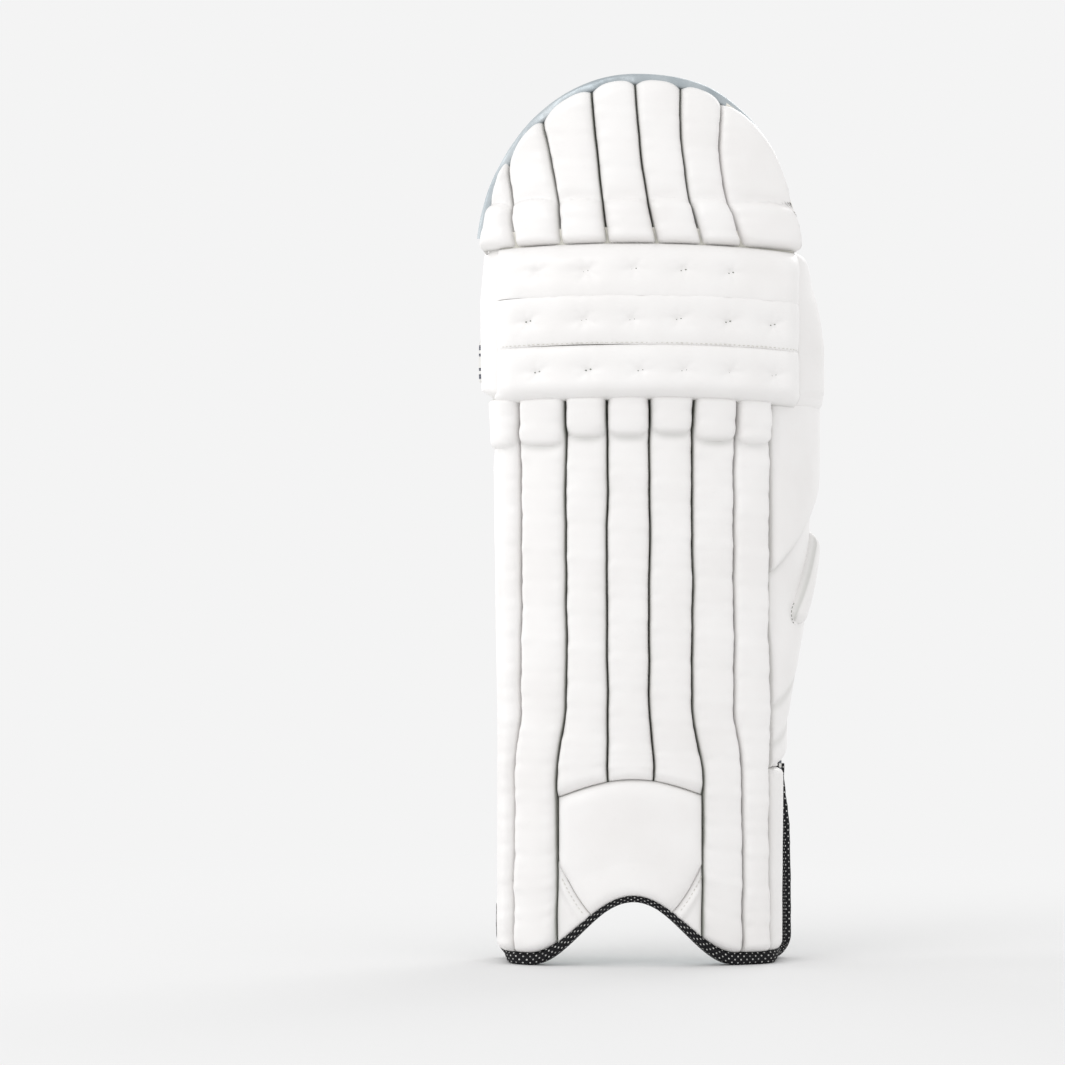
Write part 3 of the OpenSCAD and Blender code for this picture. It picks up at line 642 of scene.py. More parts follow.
def floor_paint():
    finish = Finish("floor_paint", Roughness=1.0, Specular_IOR_Level=0.0)
    x, y, _ = finish.split()
    squares = [finish.math("MULTIPLY", part, part) for part in (x, y)]
    away = finish.math("SQRT", finish.math("ADD", *squares))
    far = finish.remap(away, 250.0, 1500.0)
    finish.colour(finish.blend(far, (0.76, 0.76, 0.76), (0.0, 0.0, 0.0)))
    finish.put(finish.shader, "Emission Color", (*STUDIO_WHITE, 1))
    finish.put(finish.shader, "Emission Strength", far)
    finish.put(finish.shader, "Roughness", finish.remap(finish.noise(300, 2), 0.3, 0.7, 0.9, 1.0))
    return finish.material


FACE = leather("face_leather", (0.925, 0.912, 0.905), (0.885, 0.868, 0.858))
EDGE = leather("edge_leather", (0.88, 0.86, 0.80), (0.80, 0.775, 0.71), grain=1.3)
LINING = perforated_lining()
BACKING = backing_cloth()
BLUE = mesh_cloth("blue_mesh", (0.80, 0.90, 0.93), (0.71, 0.83, 0.88), (0.44, 0.58, 0.64), 2.6)
BEIGE = mesh_cloth(
    "beige_mesh", (0.56, 0.55, 0.50), (0.48, 0.47, 0.42), (0.80, 0.79, 0.74), 3.6, depth=0.5
)
SILVER = satin("silver_satin", (0.86, 0.88, 0.90), (0.66, 0.70, 0.74), 0.6)
PIPING = satin("silver_piping", (0.62, 0.66, 0.68), (0.38, 0.43, 0.46), 0.6, (0.34, 0.46))
HALFTONE = halftone_satin()
TAPE = dotted_tape()
KNEE_WEB = striped_webbing("knee_webbing", (0.09, 0.21), (0.29, 0.36))
WIDE_WEB = striped_webbing("wide_webbing", (0.09, 0.165), (0.222, 0.26))
TAB_WEB = striped_webbing("tab_webbing", (0.10, 0.20), (0.27, 0.325))
RING = plastic()
PILE = loop_pile()
CANE = cane_wood()
THREAD = thread("pale_thread", (0.82, 0.81, 0.76), (0.62, 0.61, 0.56))
HOLE_THREAD = thread("shadow_thread", (0.34, 0.36, 0.32), (0.18, 0.20, 0.17))
DARK = cord_and_gap_shade()


# ---------------------------------------------------------------- stage


def make_camera():
    """Level with the middle of the pad and a little to its medial side, through a long lens."""
    middle = Vector((-0.100, 0, 0.364))
    away = 4.52
    camera = bpy.data.objects.new("camera", bpy.data.cameras.new("camera"))
    camera.data.lens = 180
    camera.data.sensor_width = 36
    camera.location = middle - Vector((0, away + 0.01, 0))
    camera.rotation_euler = (math.radians(90), 0, 0)
    bpy.context.scene.collection.objects.link(camera)
    bpy.context.scene.camera = camera


def softbox(name, place, target, size, power):
    light = bpy.data.lights.new(name, "AREA")
    light.shape = "RECTANGLE"
    light.size, light.size_y = size
    light.energy = power
    lamp = bpy.data.objects.new(name, light)
    lamp.location = place
    lamp.rotation_euler = (Vector(target) - Vector(place)).to_track_quat("-Z", "Y").to_euler()
    bpy.context.scene.collection.objects.link(lamp)


def make_stage():
    bpy.context.scene.view_settings.view_transform = "Standard"
    world = bpy.data.worlds.new("studio")
    world.use_nodes = True
    world.node_tree.nodes["Background"].inputs["Color"].default_value = (*STUDIO_WHITE, 1)
    bpy.context.scene.world = world
    softbox("key", (-1.1, -1.6, 1.7), (0, 0, 0.4), (1.2, 1.2), 9.5)
    softbox("rim_left", (-1.8, 0.1, 0.7), (0, 0, 0.4), (0.5, 1.6), 5)
    softbox("rear_top", (0.9, 1.7, 1.7), (0, 0, 0.4), (1.1, 1.1), 11)
    softbox("rear_left", (-1.3, 1.8, 0.9), (0, 0, 0.35), (0.9, 1.3), 4)
    half = 12 / MM
    points = [[x * half, y * half, 0] for x, y in ((-1, -1), (1, -1), (1, 1), (-1, 1))]
    floor = finish_mesh("floor", points, [[0, 1, 2, 3]], floor_paint())


# ---------------------------------------------------------------- padded shapes


def side_round(distance, width, power=2.4):
    """How full a padded shape is at a distance from its sewn edge, from 0 to 1."""
    return (1 - (1 - clamp(distance / width)) ** power) ** (1 / power)


def spread(count, crowd=0.75):
    """Places from 0 to 1 that crowd towards both ends."""
    t = np.linspace(0, 1, count)
    return mix(t, 0.5 - 0.5 * np.cos(np.pi * t), crowd)


def rows_between(low, high, step):
    return np.linspace(low, high, max(3, int(round((high - low) / step)) + 1))


def seam_tone(distance, strength, wide=0.12):
    """How much painted shade darkens the surface at and beside a seam: a narrow dark line in the
    groove and a softer shadow beside it.
    """
    groove_line = 0.95 * np.exp(-((distance / 0.8) ** 2))
    shadow = wide * np.exp(-distance / 3.5)
    return clamp(strength * (groove_line + shadow))


# ---------------------------------------------------------------- shin


def shin_seam(k, z):
    line = mix(SHIN_SEAMS_LOW[k], SHIN_SEAMS_HIGH[k], smooth((z - INSTEP_TOP - 17) / 62))
    return line + 0.7 * ripple(z / 31, k + 1)


def knee_lean(s):
    return -4 * (s / 120) ** 2


def instep_arc(s):
    return 15 * np.cos(clamp(np.abs(s) / 60) * np.pi / 2)


SHIN_LOW = 9.8
SHIN_HIGH = KNEE_Z + 2
ROLL_H = 15.5
# How much lower the knuckle of each roll ends than the highest of them
KNUCKLE_DROP = (12, 10, 3, 2, 0, 6, 9)


def shin_roll(i):
    """A long padded channel with a fuller knuckle under the knee."""
    short = 3 <= i <= 5
    low = INSTEP_TOP if short else SHIN_LOW
    z = rows_between(low, SHIN_HIGH, 1.9)[:, None]
    u = spread(27)[None, :]
    left, right = shin_seam(i - 1, z) + 0.25, shin_seam(i, z) - 0.25
    s = mix(left, right, u)
    from_left, from_right = s - left, right - s
    near = np.minimum(from_left, from_right)
    pinch = 1 + 0.16 * ripple(z / 6.5, i) * np.exp(-near / 7)
    body = side_round(near, 6.5, 2.8) * pinch
    low_end = side_round(z - low, 13 if short else 8, 2)
    high_end = side_round(SHIN_HIGH - z, 7, 2)
    across = np.abs(2 * u - 1)
    end = SHIN_HIGH - 34 - KNUCKLE_DROP[i - 1]
    corner = 9 * (1 - np.sqrt(1 - (0.96 * across) ** 3.5))
    above = z - end - corner
    knuckle = 6.2 * side_round(above, 9, 2.4) * (1 - 0.25 * across**4)
    knuckle = knuckle * (1 + 0.08 * ripple(z / 9, i + 9))
    under = 1.6 * np.exp(-np.maximum(0, -above) / 6) * (above < 0) * (1 - across**4)
    under = under * smooth(-above / 2)
    soft = 0.45 * waver(z / 38, s / 19, i)
    turned = smooth((-s - 100) / 26)
    pad = ROLL_H * (0.9 + 0.1 * (1 - (2 * u - 1) ** 2)) * (1 - 0.36 * turned)
    pad = pad + knuckle * (1 - 0.75 * turned) - under + soft
    n = 2.6 + (pad - 2.6) * body * low_end * high_end
    drop = (instep_arc(s) if short else 0) * clamp(1 - (z - low) / 40)
    drop = drop + knee_lean(s) * clamp(1 - (SHIN_HIGH - z) / 40)
    # Painted shade: dark lines along the seams, darker still up between the knuckles, under the
    # knee roll's edge and at the short rolls' lower ends, and a painted shadow under each knuckle's
    # end
    shade_tone = np.maximum(
        seam_tone(from_left, SHIN_SEAM_SHADE[i - 1]), seam_tone(from_right, SHIN_SEAM_SHADE[i])
    )
    shade_tone = shade_tone * mix(1, 1.25, smooth((z - end - 4) / 10))
    shade_tone = np.maximum(shade_tone, seam_tone(SHIN_HIGH - 2 - z, 0.5) + 0 * s)
    shade = (0.2 if 2 <= i <= 6 else 0.1) * np.exp(-((above + 2.5) / 3.2) ** 2)
    shade = shade * (1 - 0.5 * across**2)
    shade_tone = np.maximum(shade_tone, shade)
    if short:
        shade_tone = np.maximum(shade_tone, seam_tone(z - low, 0.25) + 0 * s)
    shade_tone = clamp(shade_tone)
    piece = slab(
        f"shin_roll_{i}_leather",
        section(s, z + drop, n),
        section(s, z + drop, 0.8 + 0 * n),
        FACE,
        seam=shade_tone,
    )
    return piece


def shield_edge(z):
    return mix(34, 59, clamp((z - 9.6) / 70))


def instep_shield():
    """The broad tongue over the instep, fuller than the corners beside it."""
    low, high = SHIN_LOW, INSTEP_TOP + 0.5
    z = rows_between(low, high, 1.8)[:, None]
    u = spread(70, 0.5)[None, :]
    left = -shield_edge(z) - 2 * smooth((z - 60) / 30)
    right = shield_edge(z) - 2.6
    s = mix(left, right, u)
    near = np.minimum(s - left, right - s)
    body = side_round(near, 12, 2.2)
    ends = side_round(high - z, 12, 2) * side_round(z - low, 16, 2)
    n = 7 + (13.5 + 1.2 * np.cos(np.pi * (u - 0.5)) - 7) * body * ends
    n = n + 0.5 * waver(z / 33, s / 30, 4) * body
    rise = instep_arc(s) * clamp(1 - (high - z) / 40)
    # Painted shade along the shield's edges and under the ends of the rolls above it
    shade_tone = np.maximum(seam_tone(near, 0.04), seam_tone(high - z, 0.14) + 0 * s)
    grids = [section(s, z + rise, layer) for layer in (n, 0.8 + 0 * n)]
    piece = slab("instep_shield_leather", *grids, FACE, seam=shade_tone)
    return piece


def instep_corner(side):
    """A flat three-cornered panel beside the shield, with its sewn fold."""
    low, high = SHIN_LOW, 84
    z = rows_between(low, high, 1.8)[:, None]
    u = spread(22, 0.4)[None, :]
    inner = shield_edge(z) + (0.3 if side < 0 else -2.4)
    outer = np.abs(shin_seam(2 if side < 0 else 5, z)) - 0.3
    s = mix(inner, np.maximum(outer, inner + 0.4), u)
    near = np.minimum(s - inner, np.maximum(outer, inner + 0.4) - s)
    body = side_round(near, 6, 2.2)
    n = 6 + 3.0 * body * side_round(z - low, 10, 2)
    fold = np.exp(-(((s - inner - 5.5) / 2.2) ** 2)) * 2.2 * clamp((outer - inner - 6) / 6)
    n = n + fold
    # Painted shade along the shield's edge and along the seam beside the rolls
    shade_tone = np.maximum(seam_tone(s - inner, 0.04), seam_tone(np.abs(outer - s), 0.5))
    s = side * s
    grids = [section(s, z, layer) for layer in (n, 0.8 + 0 * n)]
    if side < 0:
        grids = [grid[:, ::-1] for grid in grids]
        shade_tone = shade_tone[:, ::-1]
    piece = slab(f"instep_corner_{SIDE_NAMES[side]}", *grids, FACE, seam=shade_tone)
    line_z = np.linspace(16, 72, 60)
    line_s = shield_edge(line_z) + (3.4 if side < 0 else 0.7)
    line = section(side * line_s, line_z, 9.2)
    out = unit(section(side * line_s, line_z, 12) - line)
    sewn = stitches(f"instep_stitch_{SIDE_NAMES[side]}", line, out, THREAD, 4.0, 2.9)
    return piece, sewn


def shin_backing():
    """The shell behind the rolls, in one sheet from edge to hinge seam."""
    z = rows_between(SHIN_LOW, KNEE_Z - 4, 4)[:, None]
    u = np.linspace(0, 1, 90)[None, :]
    s = mix(-edge_of(-1, z) + 0.6, HINGE_S - 1.5, u)
    return slab("shin_backing", section(s, z, 0 * s), section(s, z, 0 * s - SHELL_T), BACKING)


def ankle_wall():
    z = rows_between(SHIN_LOW, ANKLE_Z - 2, 2.5)[:, None]
    u = spread(26)[None, :]
    s = mix(HINGE_S - 1.4, edge_of(1, z) - 0.4, u)
    near = np.minimum(s - (HINGE_S - 1.4), edge_of(1, z) - s)
    ends = side_round(z - SHIN_LOW, 8, 2) * side_round(ANKLE_Z - 2 - z, 6, 2)
    full = 7.4 - 3.6 * smooth((s - 124) / 26) + 0.4 * waver(z / 22, s / 13, 2)
    n = 2 + full * side_round(near, 8) * ends
    grids = [section(s, z, layer) for layer in (n, 0 * s - SHELL_T)]
    # Painted shade along the panel's sewn edges
    piece = slab("ankle_side_leather", *grids, FACE, seam=seam_tone(near, 0.3))
    return piece


def medial_wall():
    """The padded side panel behind the first roll, up to the rear edge."""
    z = rows_between(SHIN_LOW, KNEE_Z + 1, 2.5)[:, None]
    u = spread(20)[None, :]
    inner = -edge_of(-1, z) + 0.3
    outer = shin_seam(0, z) - 0.2
    s = mix(inner, outer, u)
    near = np.minimum(s - inner, outer - s)
    ends = side_round(z - SHIN_LOW, 8, 2) * side_round(KNEE_Z + 1 - z, 8, 2)
    n = 2 + (5.4 + 0.35 * waver(z / 25, s / 13, 8)) * side_round(near, 8) * ends
    drop = knee_lean(s) * clamp(1 - (KNEE_Z + 1 - z) / 40)
    # Painted shade along the panel's sewn edges
    piece = slab(
        "shin_side_leather",
        section(s, z + drop, n),
        section(s, z + drop, 0.7 + 0 * s),
        FACE,
        seam=seam_tone(near, 0.35),
    )
    return piece


def canes():
    """The strips of cane that stiffen the rolls, hidden under the leather."""
    for i in range(1, 8):
        z = rows_between(170 if 3 <= i <= 5 else 30, 470, 8)[:, None]
        middle = (shin_seam(i - 1, z) + shin_seam(i, z)) / 2
        s = middle + 7.5 * np.linspace(-1, 1, 9)[None, :]
        bow = 2.2 + 0.5 * np.sqrt(1 - np.linspace(-1, 1, 9)[None, :] ** 2 * 0.9) + 0 * s
        yield slab(f"shin_cane_{i}", section(s, z, bow), section(s, z, 0.45 + 0 * s), CANE)


# ---------------------------------------------------------------- hem and edges


def rounded_box(half_w, half_h, r, steps=5):
    """Points round a rectangle with round corners."""
    points = []
    for k, (cx, cy) in enumerate(((1, 1), (-1, 1), (-1, -1), (1, -1))):
        for t in np.linspace(0, np.pi / 2, steps) + k * np.pi / 2:
            points.append((cx * (half_w - r) + r * np.cos(t), cy * (half_h - r) + r * np.sin(t)))
    return np.array(points)


def hem_outline():
    """The outer line of the hem in s and z: up both rear edges, with round corners at the floor."""
    corner = 12
    left, right = -edge_of(-1, 0) - 5, edge_of(1, 0) + 5
    turn = np.linspace(0, np.pi / 2, 9)[1:-1]
    down = [(left, z) for z in np.linspace(ANKLE_Z - 1, corner, 60)]
    turn_in = [(left + corner - corner * np.cos(t), corner - corner * np.sin(t)) for t in turn]
    floor_run = [(s, 0.0) for s in np.linspace(left + corner, right - corner, 190)]
    turn_out = [(right - corner + corner * np.sin(t), corner - corner * np.cos(t)) for t in turn]
    up = [(right, z) for z in np.linspace(corner, ANKLE_Z - 1, 60)]
    return np.array(down + turn_in + floor_run + turn_out + up)


def hem():
    """One length of dotted tape folded over the bottom edge and up both rear edges."""
    line = hem_outline()
    way = unit(np.gradient(line, axis=0))
    inward = np.stack([-way[:, 1], way[:, 0]], -1)
    run = np.concatenate([[0], np.cumsum(np.linalg.norm(np.diff(line, axis=0), axis=1))])
    profile = rounded_box(5.4, 7.6, 3.4)
    around = np.concatenate([[0], np.cumsum(np.linalg.norm(np.diff(profile, axis=0), axis=1))])
    depth = 5.4 + profile[:, 0]
    rings = []
    for k, (s0, z0) in enumerate(line):
        pucker = 0.28 * ripple(run[k] / 2.6, 3)
        s = s0 + inward[k, 0] * depth
        z = z0 + inward[k, 1] * depth
        fat = 1 + 0.03 * ripple(run[k] / 9, 7)
        upright = abs(way[k, 1])
        out = 3.6 if s0 > 0 else 1.2 + 2.4 * smooth((118 - z0) / 20)
        n = 1.0 + out * upright + profile[:, 1] * fat * (1 + 0.22 * upright)
        rings.append(section(s, np.maximum(z, 0), n + pucker * (depth > 7)))
    rings = np.array(rings)
    values = np.broadcast_to(run[:, None], rings.shape[:2])
    across = np.broadcast_to(around[None, :], rings.shape[:2])
    return loft("hem_tape", rings, TAPE, along=values, across=across)


def bound_edge(name, side, low, high, n_in, n_out, width=5.0, back=3.2):
    """A leather binding folded over a rear edge."""
    z = rows_between(low, high, 3)
    half = (width + back) / 2
    profile = rounded_box(half, (n_out - n_in) / 2, min(2.6, half - 0.3))
    s = edge_of(side, z)[:, None] + (width - back) / 2 + profile[None, :, 0]
    s = s + 0.25 * ripple(z / 7, side + 4)[:, None]
    n = (n_in + n_out) / 2 + profile[None, :, 1] + 0 * s
    rings = section(side * s, z[:, None], n)
    # Painted shade along the binding's inner side where it meets the face, and a faint wash of it
    # over the rest
    shade_tone = np.where(np.abs(profile[:, 0] + half) < 1.2, 0.35, 0.05)
    shade_tone = np.broadcast_to(shade_tone[None, :], rings.shape[:2])
    if side < 0:
        rings, shade_tone = rings[:, ::-1], shade_tone[:, ::-1]
    piece = loft(name, rings, EDGE, seam=shade_tone)
    line_s = edge_of(side, z) - back + 1.6
    line = section(side * line_s, z, n_out)
    out = unit(section(side * line_s, z, n_out + 3) - line)
    sewn = stitches(name + "_stitch", line, out, THREAD, 4.4, 3.2)
    return piece, sewn


# ---------------------------------------------------------------- wing


def scale_lines(s):
    """Heights of the lower edges of the wing's overlapping lobes, from the lowest up."""
    out = s - HINGE_S
    return {
        "low": 164 + 0.62 * out,
        "second": 183 + 0.92 * out,
        "third": 215 + 0.8 * out,
        "first": 328 + 0.98 * out,
    }


def lobe(name, s, low, high, thick, lift, seed, shade_tone=0.45):
    """One lobe of the wing: full at its lower edge, and thinner where the next one laps it."""
    v = spread(46, 0.35)[:, None]
    z = low + (high - low) * v
    up = z - low
    near = np.minimum(s - s[:, :1], s[:, -1:] - s)
    edge = side_round(up, 7, 2.2)
    fade = 1 - 0.8 * smooth((up - 22) / 60) * (seed > 1) - 0.25 * smooth(up / 90) * (seed == 1)
    body = side_round(near, 9, 2.2)
    n = lift + thick * edge * fade * body + 0.35 * waver(z / 21, s / 17, seed)
    # Painted shade along the lobe's lower edge and sides, and a painted shadow just under where the
    # next lobe laps over it
    shade = np.maximum(seam_tone(up, shade_tone, 0.3), seam_tone(near, 0.25))
    shade = np.maximum(shade, 0.16 * np.exp(-((high - z - 9) ** 2) / 18) * (seed > 1))
    return slab(name, section(s, z, n), section(s, z, 0 * z + 3.2), FACE, seam=shade)


def wing_lobes():
    """The plain upper panel and the lobes under it, which lap each other like feathers."""
    u = spread(64, 0.3)[None, :]
    made = {}
    bands = (
        ("wing_feather_4", "first", None, 7.5, 4.4, 1),
        ("wing_feather_2", "third", "first", 8.0, 4.2, 3),
        ("wing_feather_1", "second", "third", 7.5, 4.2, 5),
        ("wing_feather_0", "low", "second", 7.0, 4.0, 7),
    )
    for name, low_name, high_name, thick, lift, seed in bands:
        middle = scale_lines(np.array(150.0))[low_name]
        stop = edge_of(1, min(middle + 40, 440)) - 7
        s = mix(HINGE_S + 0.7, stop, u)
        lines = scale_lines(s)
        high = KNEE_Z - 2 + 0 * s if high_name is None else lines[high_name] + 9
        low = np.minimum(lines[low_name], KNEE_Z - 30)
        made[name] = lobe(name + "_leather", s, low, high, thick, lift, seed)
    return made


def wing_finger():
    """A raised rib that comes forward from the rear of the wing and ends in a sewn round tip."""
    length, half = 92.0, 10.5
    tip = np.array([146.0, 287.0])
    way = unit(np.array([0.64, 0.94]))
    side = np.array([-way[1], way[0]])
    tip_run = half * (1 - np.cos(np.linspace(0, np.pi / 2, 12)))
    run = np.concatenate([tip_run, np.linspace(half + 2, length, 44)])
    w = spread(22, 0.8) * 2 - 1
    width = half * np.sqrt(1 - (1 - clamp(run / half)) ** 2) + 0.05
    bend = 7.0 * (run / length) ** 2
    s = tip[0] + run[:, None] * way[0] + w[None, :] * width[:, None] * side[0] + bend[:, None] * 0.5
    z = tip[1] + run[:, None] * way[1] + w[None, :] * width[:, None] * side[1] - bend[:, None] * 0.4
    swell = np.minimum(side_round(run, 9, 2)[:, None], side_round(length - run, 16, 2)[:, None])
    n = 4.0 + 12.5 * np.sqrt(np.maximum(0, 1 - np.abs(w[None, :]) ** 2.6)) * swell
    near = (1 - np.abs(w[None, :])) * width[:, None]
    grids = [section(s, z, layer)[:, ::-1] for layer in (n, 3.5 + 0 * n)]
    # Painted shade along the rib's sides
    shade_tone = seam_tone(near - 2, 0.3, 0.2)[:, ::-1]
    piece = slab("wing_feather_3_leather", *grids, FACE, seam=shade_tone)
    t = np.linspace(-1.9, 1.9, 60)
    rim_s = tip[0] + half * way[0] - (half + 1.6) * (np.cos(t) * way[0] + np.sin(t) * side[0])
    rim_z = tip[1] + half * way[1] - (half + 1.6) * (np.cos(t) * way[1] + np.sin(t) * side[1])
    line = section(rim_s, rim_z, 9.1)
    out = unit(section(rim_s, rim_z, 12) - line)
    sewn = stitches("wing_feather_3_stitch", line, out, HOLE_THREAD, 3.6, 2.3, 0.4)
    return piece, sewn


def wing_base():
    z = rows_between(ANKLE_Z - 1, KNEE_Z - 1, 3)[:, None]
    u = np.linspace(0, 1, 60)[None, :]
    s = mix(HINGE_S - 1.2, edge_of(1, z) - 0.3, u)
    grids = [section(s, z, layer + 0 * s) for layer in (3.1, -SHELL_T)]
    return slab("wing_base", *grids, FACE, seam=0 * s)


def wing_inside():
    """The cream lining on the leg side of the wing."""
    z = rows_between(ANKLE_Z + 1, KNEE_Z - 4, 3)[:, None]
    u = spread(50, 0.4)[None, :]
    s = mix(HINGE_S + 1, edge_of(1, z) - 0.6, u)
    near = np.minimum(s - s[:, :1], s[:, -1:] - s)
    n = -SHELL_T - 0.5 - 3.4 * side_round(near, 9) - 0.4 * waver(z / 26, s / 21, 6)
    # Painted shade along the lining's edges
    piece = slab(
        "wing_lining_cloth",
        section(s, z, 0 * s - SHELL_T - 0.4),
        section(s, z, n),
        LINING,
        seam=seam_tone(near, 0.6, 0.35),
        holes=0 * s,
    )
    return piece


# ---------------------------------------------------------------- knee


def knee_roll_ends(i):
    """Heights of the lower and upper seam of a knee roll."""
    low = KNEE_SEAMS[i] - (5.5 if i == 0 else 0.05)
    return low, KNEE_SEAMS[i + 1] + (0.05 if i < 2 else -0.2)


def tufts(i):
    """The tufts of a knee roll, as s and the height from its middle."""
    for k, x in enumerate(TUFTS[i]):
        s = FRONT_R * np.arcsin(x / (FRONT_R + 26))
        yield s, (2.0, 0.5, 0.0)[i] + 1.2 * ripple(k * 2.1, i)


def knee_roll(i):
    """One of the three cross rolls: broad, tufted, and sewn down at both ends."""
    low, high = knee_roll_ends(i)
    z = rows_between(low, high, 1.35)[:, None]
    u = spread(190, 0.25)[None, :]
    s = mix(KNEE_ROLL_MEDIAL, KNEE_ROLL_WING, u) + 0 * z
    near_end = np.minimum(s - KNEE_ROLL_MEDIAL, KNEE_ROLL_WING - s)
    floor_low = (5.0, 26.8, 28.6)[i]
    floor_high = (26.8, 28.6, 9.0)[i]
    low_round = side_round(z - low, (17, 14, 12)[i], (2.1, 1.7, 1.6)[i])
    high_round = side_round(high - z, (14, 12, 20)[i], (1.7, 1.6, 2.1)[i])
    top = 30.5 + 0.6 * ripple(s / 47, i)
    n = np.minimum(mix(floor_low, top, low_round), mix(floor_high, top, high_round))
    middle = (low + high) / 2
    for place, height in tufts(i):
        reach = np.hypot((s - place) / 1.5, z - middle - height)
        n = n - 2.6 * np.exp(-((reach / 8.5) ** 2)) - 1.9 * np.exp(-((reach / 2.6) ** 2))
        spoke = np.arctan2(z - middle - height, s - place)
        n = n + 0.3 * np.sin(5 * spoke + place) * np.exp(-(((reach - 5) / 4) ** 2))
    crease = np.exp(-np.minimum(np.abs(z - low), np.abs(high - z)) / 6)
    n = n + 0.45 * ripple(s / 5.5, i + 2) * crease + 0.5 * waver(s / 33, z / 19, i)
    ends = side_round(near_end, 22, 2.0)
    n = 9.0 + (n - 9.0) * ends
    lean = knee_lean(s) + 0.5 * ripple(s / 60, i)
    fall = 2 - 6 * (np.abs(s) / 140) ** 2 if i == 2 else lean
    drop = mix(lean, fall, (z - low) / (high - low))
    # Painted shade along the rolls' seams, strongest under the lowest roll's overhang, and at their
    # sewn ends
    shade_tone = np.maximum(
        seam_tone(z - low, (0.45, 0.03, 0)[i], 0.3), seam_tone(high - z, (0.03, 0, 0.2)[i], 0.3)
    )
    shade_tone = np.maximum(shade_tone * np.ones_like(s), seam_tone(near_end, 0.1))
    name = ("knee_roll_lower", "knee_roll_middle", "knee_roll_upper")[i]
    grids = (section(s, z + drop, n), section(s, z + drop, 0.7 + 0 * n))
    piece = slab(name + "_leather", *grids, FACE, seam=shade_tone)
    return name, piece


def tuft_threads():
    """The pairs of pulled stitches in the dimples of the knee rolls."""
    lines = []
    for i in range(3):
        middle = sum(knee_roll_ends(i)) / 2
        for s0, height in tufts(i):
            for shift in (-1.7, 1.9):
                lines.append((s0 + shift, middle + height + 0.25 * shift + knee_lean(s0)))
    points, faces = [], []
    for number, (s0, z0) in enumerate(lines):
        t = np.linspace(0, 2 * np.pi, 10, endpoint=False)
        for wide, n in ((1.0, 23.4), (0.8, 26.3), (0.35, 27.0)):
            points.append(section(s0 + wide * np.cos(t), z0 + 0.8 * wide * np.sin(t), n))
        cell = np.arange(30).reshape(3, 10)
        cell = np.concatenate([cell, cell[:, :1]], 1)
        faces += (quads(cell) + 30 * number).tolist()
        faces.append((np.arange(20, 30) + 30 * number).tolist())
    mesh = bpy.data.meshes.new("knee_tufts")
    mesh.from_pydata((np.concatenate(points) * MM).tolist(), [], faces)
    mesh.polygons.foreach_set("use_smooth", np.ones(len(mesh.polygons), bool))
    mesh.materials.append(HOLE_THREAD)
    piece = bpy.data.objects.new("knee_tufts", mesh)
    bpy.context.scene.collection.objects.link(piece)
    return piece


def knee_seam_stitches():
    """The stitches that show along the seam over the lowest roll, and at the rolls' ends."""
    s = np.linspace(KNEE_ROLL_MEDIAL + 8, KNEE_ROLL_WING - 6, 200)
    z = KNEE_SEAMS[1] + 1.6 + knee_lean(s)
    line = section(s, z, 9 + 19.1 * side_round(np.minimum(s + 112, 141 - s), 22, 2))
    rows = [("knee_seam_stitch", line, unit(section(s, z + 0.5, 30) - section(s, z, 22)))]
    for side, place, n in (("medial", -113.5, 9.6), ("wing", 142.5, 9.4)):
        zz = np.linspace(KNEE_Z + 3, HAT_Z - 12, 90)
        corner = 9 * (1 - side_round(np.minimum(zz - KNEE_Z - 2, HAT_Z - 11 - zz), 18, 2))
        ss = place - np.sign(place) * corner
        line = section(ss, zz + knee_lean(ss), n)
        out = unit(section(ss, zz, n + 4) - section(ss, zz, n))
        rows.append((f"knee_end_stitch_{side}", line, out))
    return [stitches(name, line, out, THREAD, 4.2, 2.6, 0.4) for name, line, out in rows]


def knee_side(side):
    """The padded side panel of the knee section, which laps over the fold."""
    low, high = KNEE_Z - 5, HAT_Z + 2
    z = rows_between(low, high, 1.9)[:, None]
    u = spread(44, 0.5)[None, :]
    inner = abs(KNEE_ROLL_MEDIAL if side < 0 else KNEE_ROLL_WING) + 0.3
    outer = edge_of(side, z) + 3.5
    s = mix(inner, outer, u)
    from_seam, from_edge = s - inner, outer - s
    ends = side_round(z - low, 8, 2) * side_round(high - z, 9, 2)
    full = 7.6 + (5.2 * smooth((198 - s) / 7) * smooth((HAT_Z - 28 - z) / 50) if side > 0 else 0)
    n = 3.4 + (full - 3.4) * side_round(from_edge, 9) * ends * (1 + 0.12 * np.exp(-from_seam / 14))
    n = n * mix(1, side_round(from_seam + 2, 5, 2), 0.35) + 0.4 * waver(z / 24, s / 19, 5 + side)
    drop = knee_lean(inner + 0 * s) - 2.5 * smooth((s - inner) / 60) * (z < (low + high) / 2)
    fall = 1 - 6 * (inner / 140) ** 2 - 0.22 * np.maximum(0, s - 146)
    drop = np.where(z > (low + high) / 2, fall * smooth((z - high + 40) / 40), drop)
    # Painted shade along the seam beside the rolls and along the lower edge
    shade_tone = np.maximum(seam_tone(from_seam, 0.3, 0.15), seam_tone(z - low, 0.3) + 0 * s)
    grids = [section(side * s, z + drop, n), section(side * s, z + drop, 0.7 + 0 * n)]
    if side < 0:
        grids = [grid[:, ::-1] for grid in grids]
        shade_tone = shade_tone[:, ::-1]
    name = f"knee_side_{SIDE_NAMES[side]}"
    piece = slab(name + "_leather", *grids, FACE, seam=shade_tone)
    return name, piece


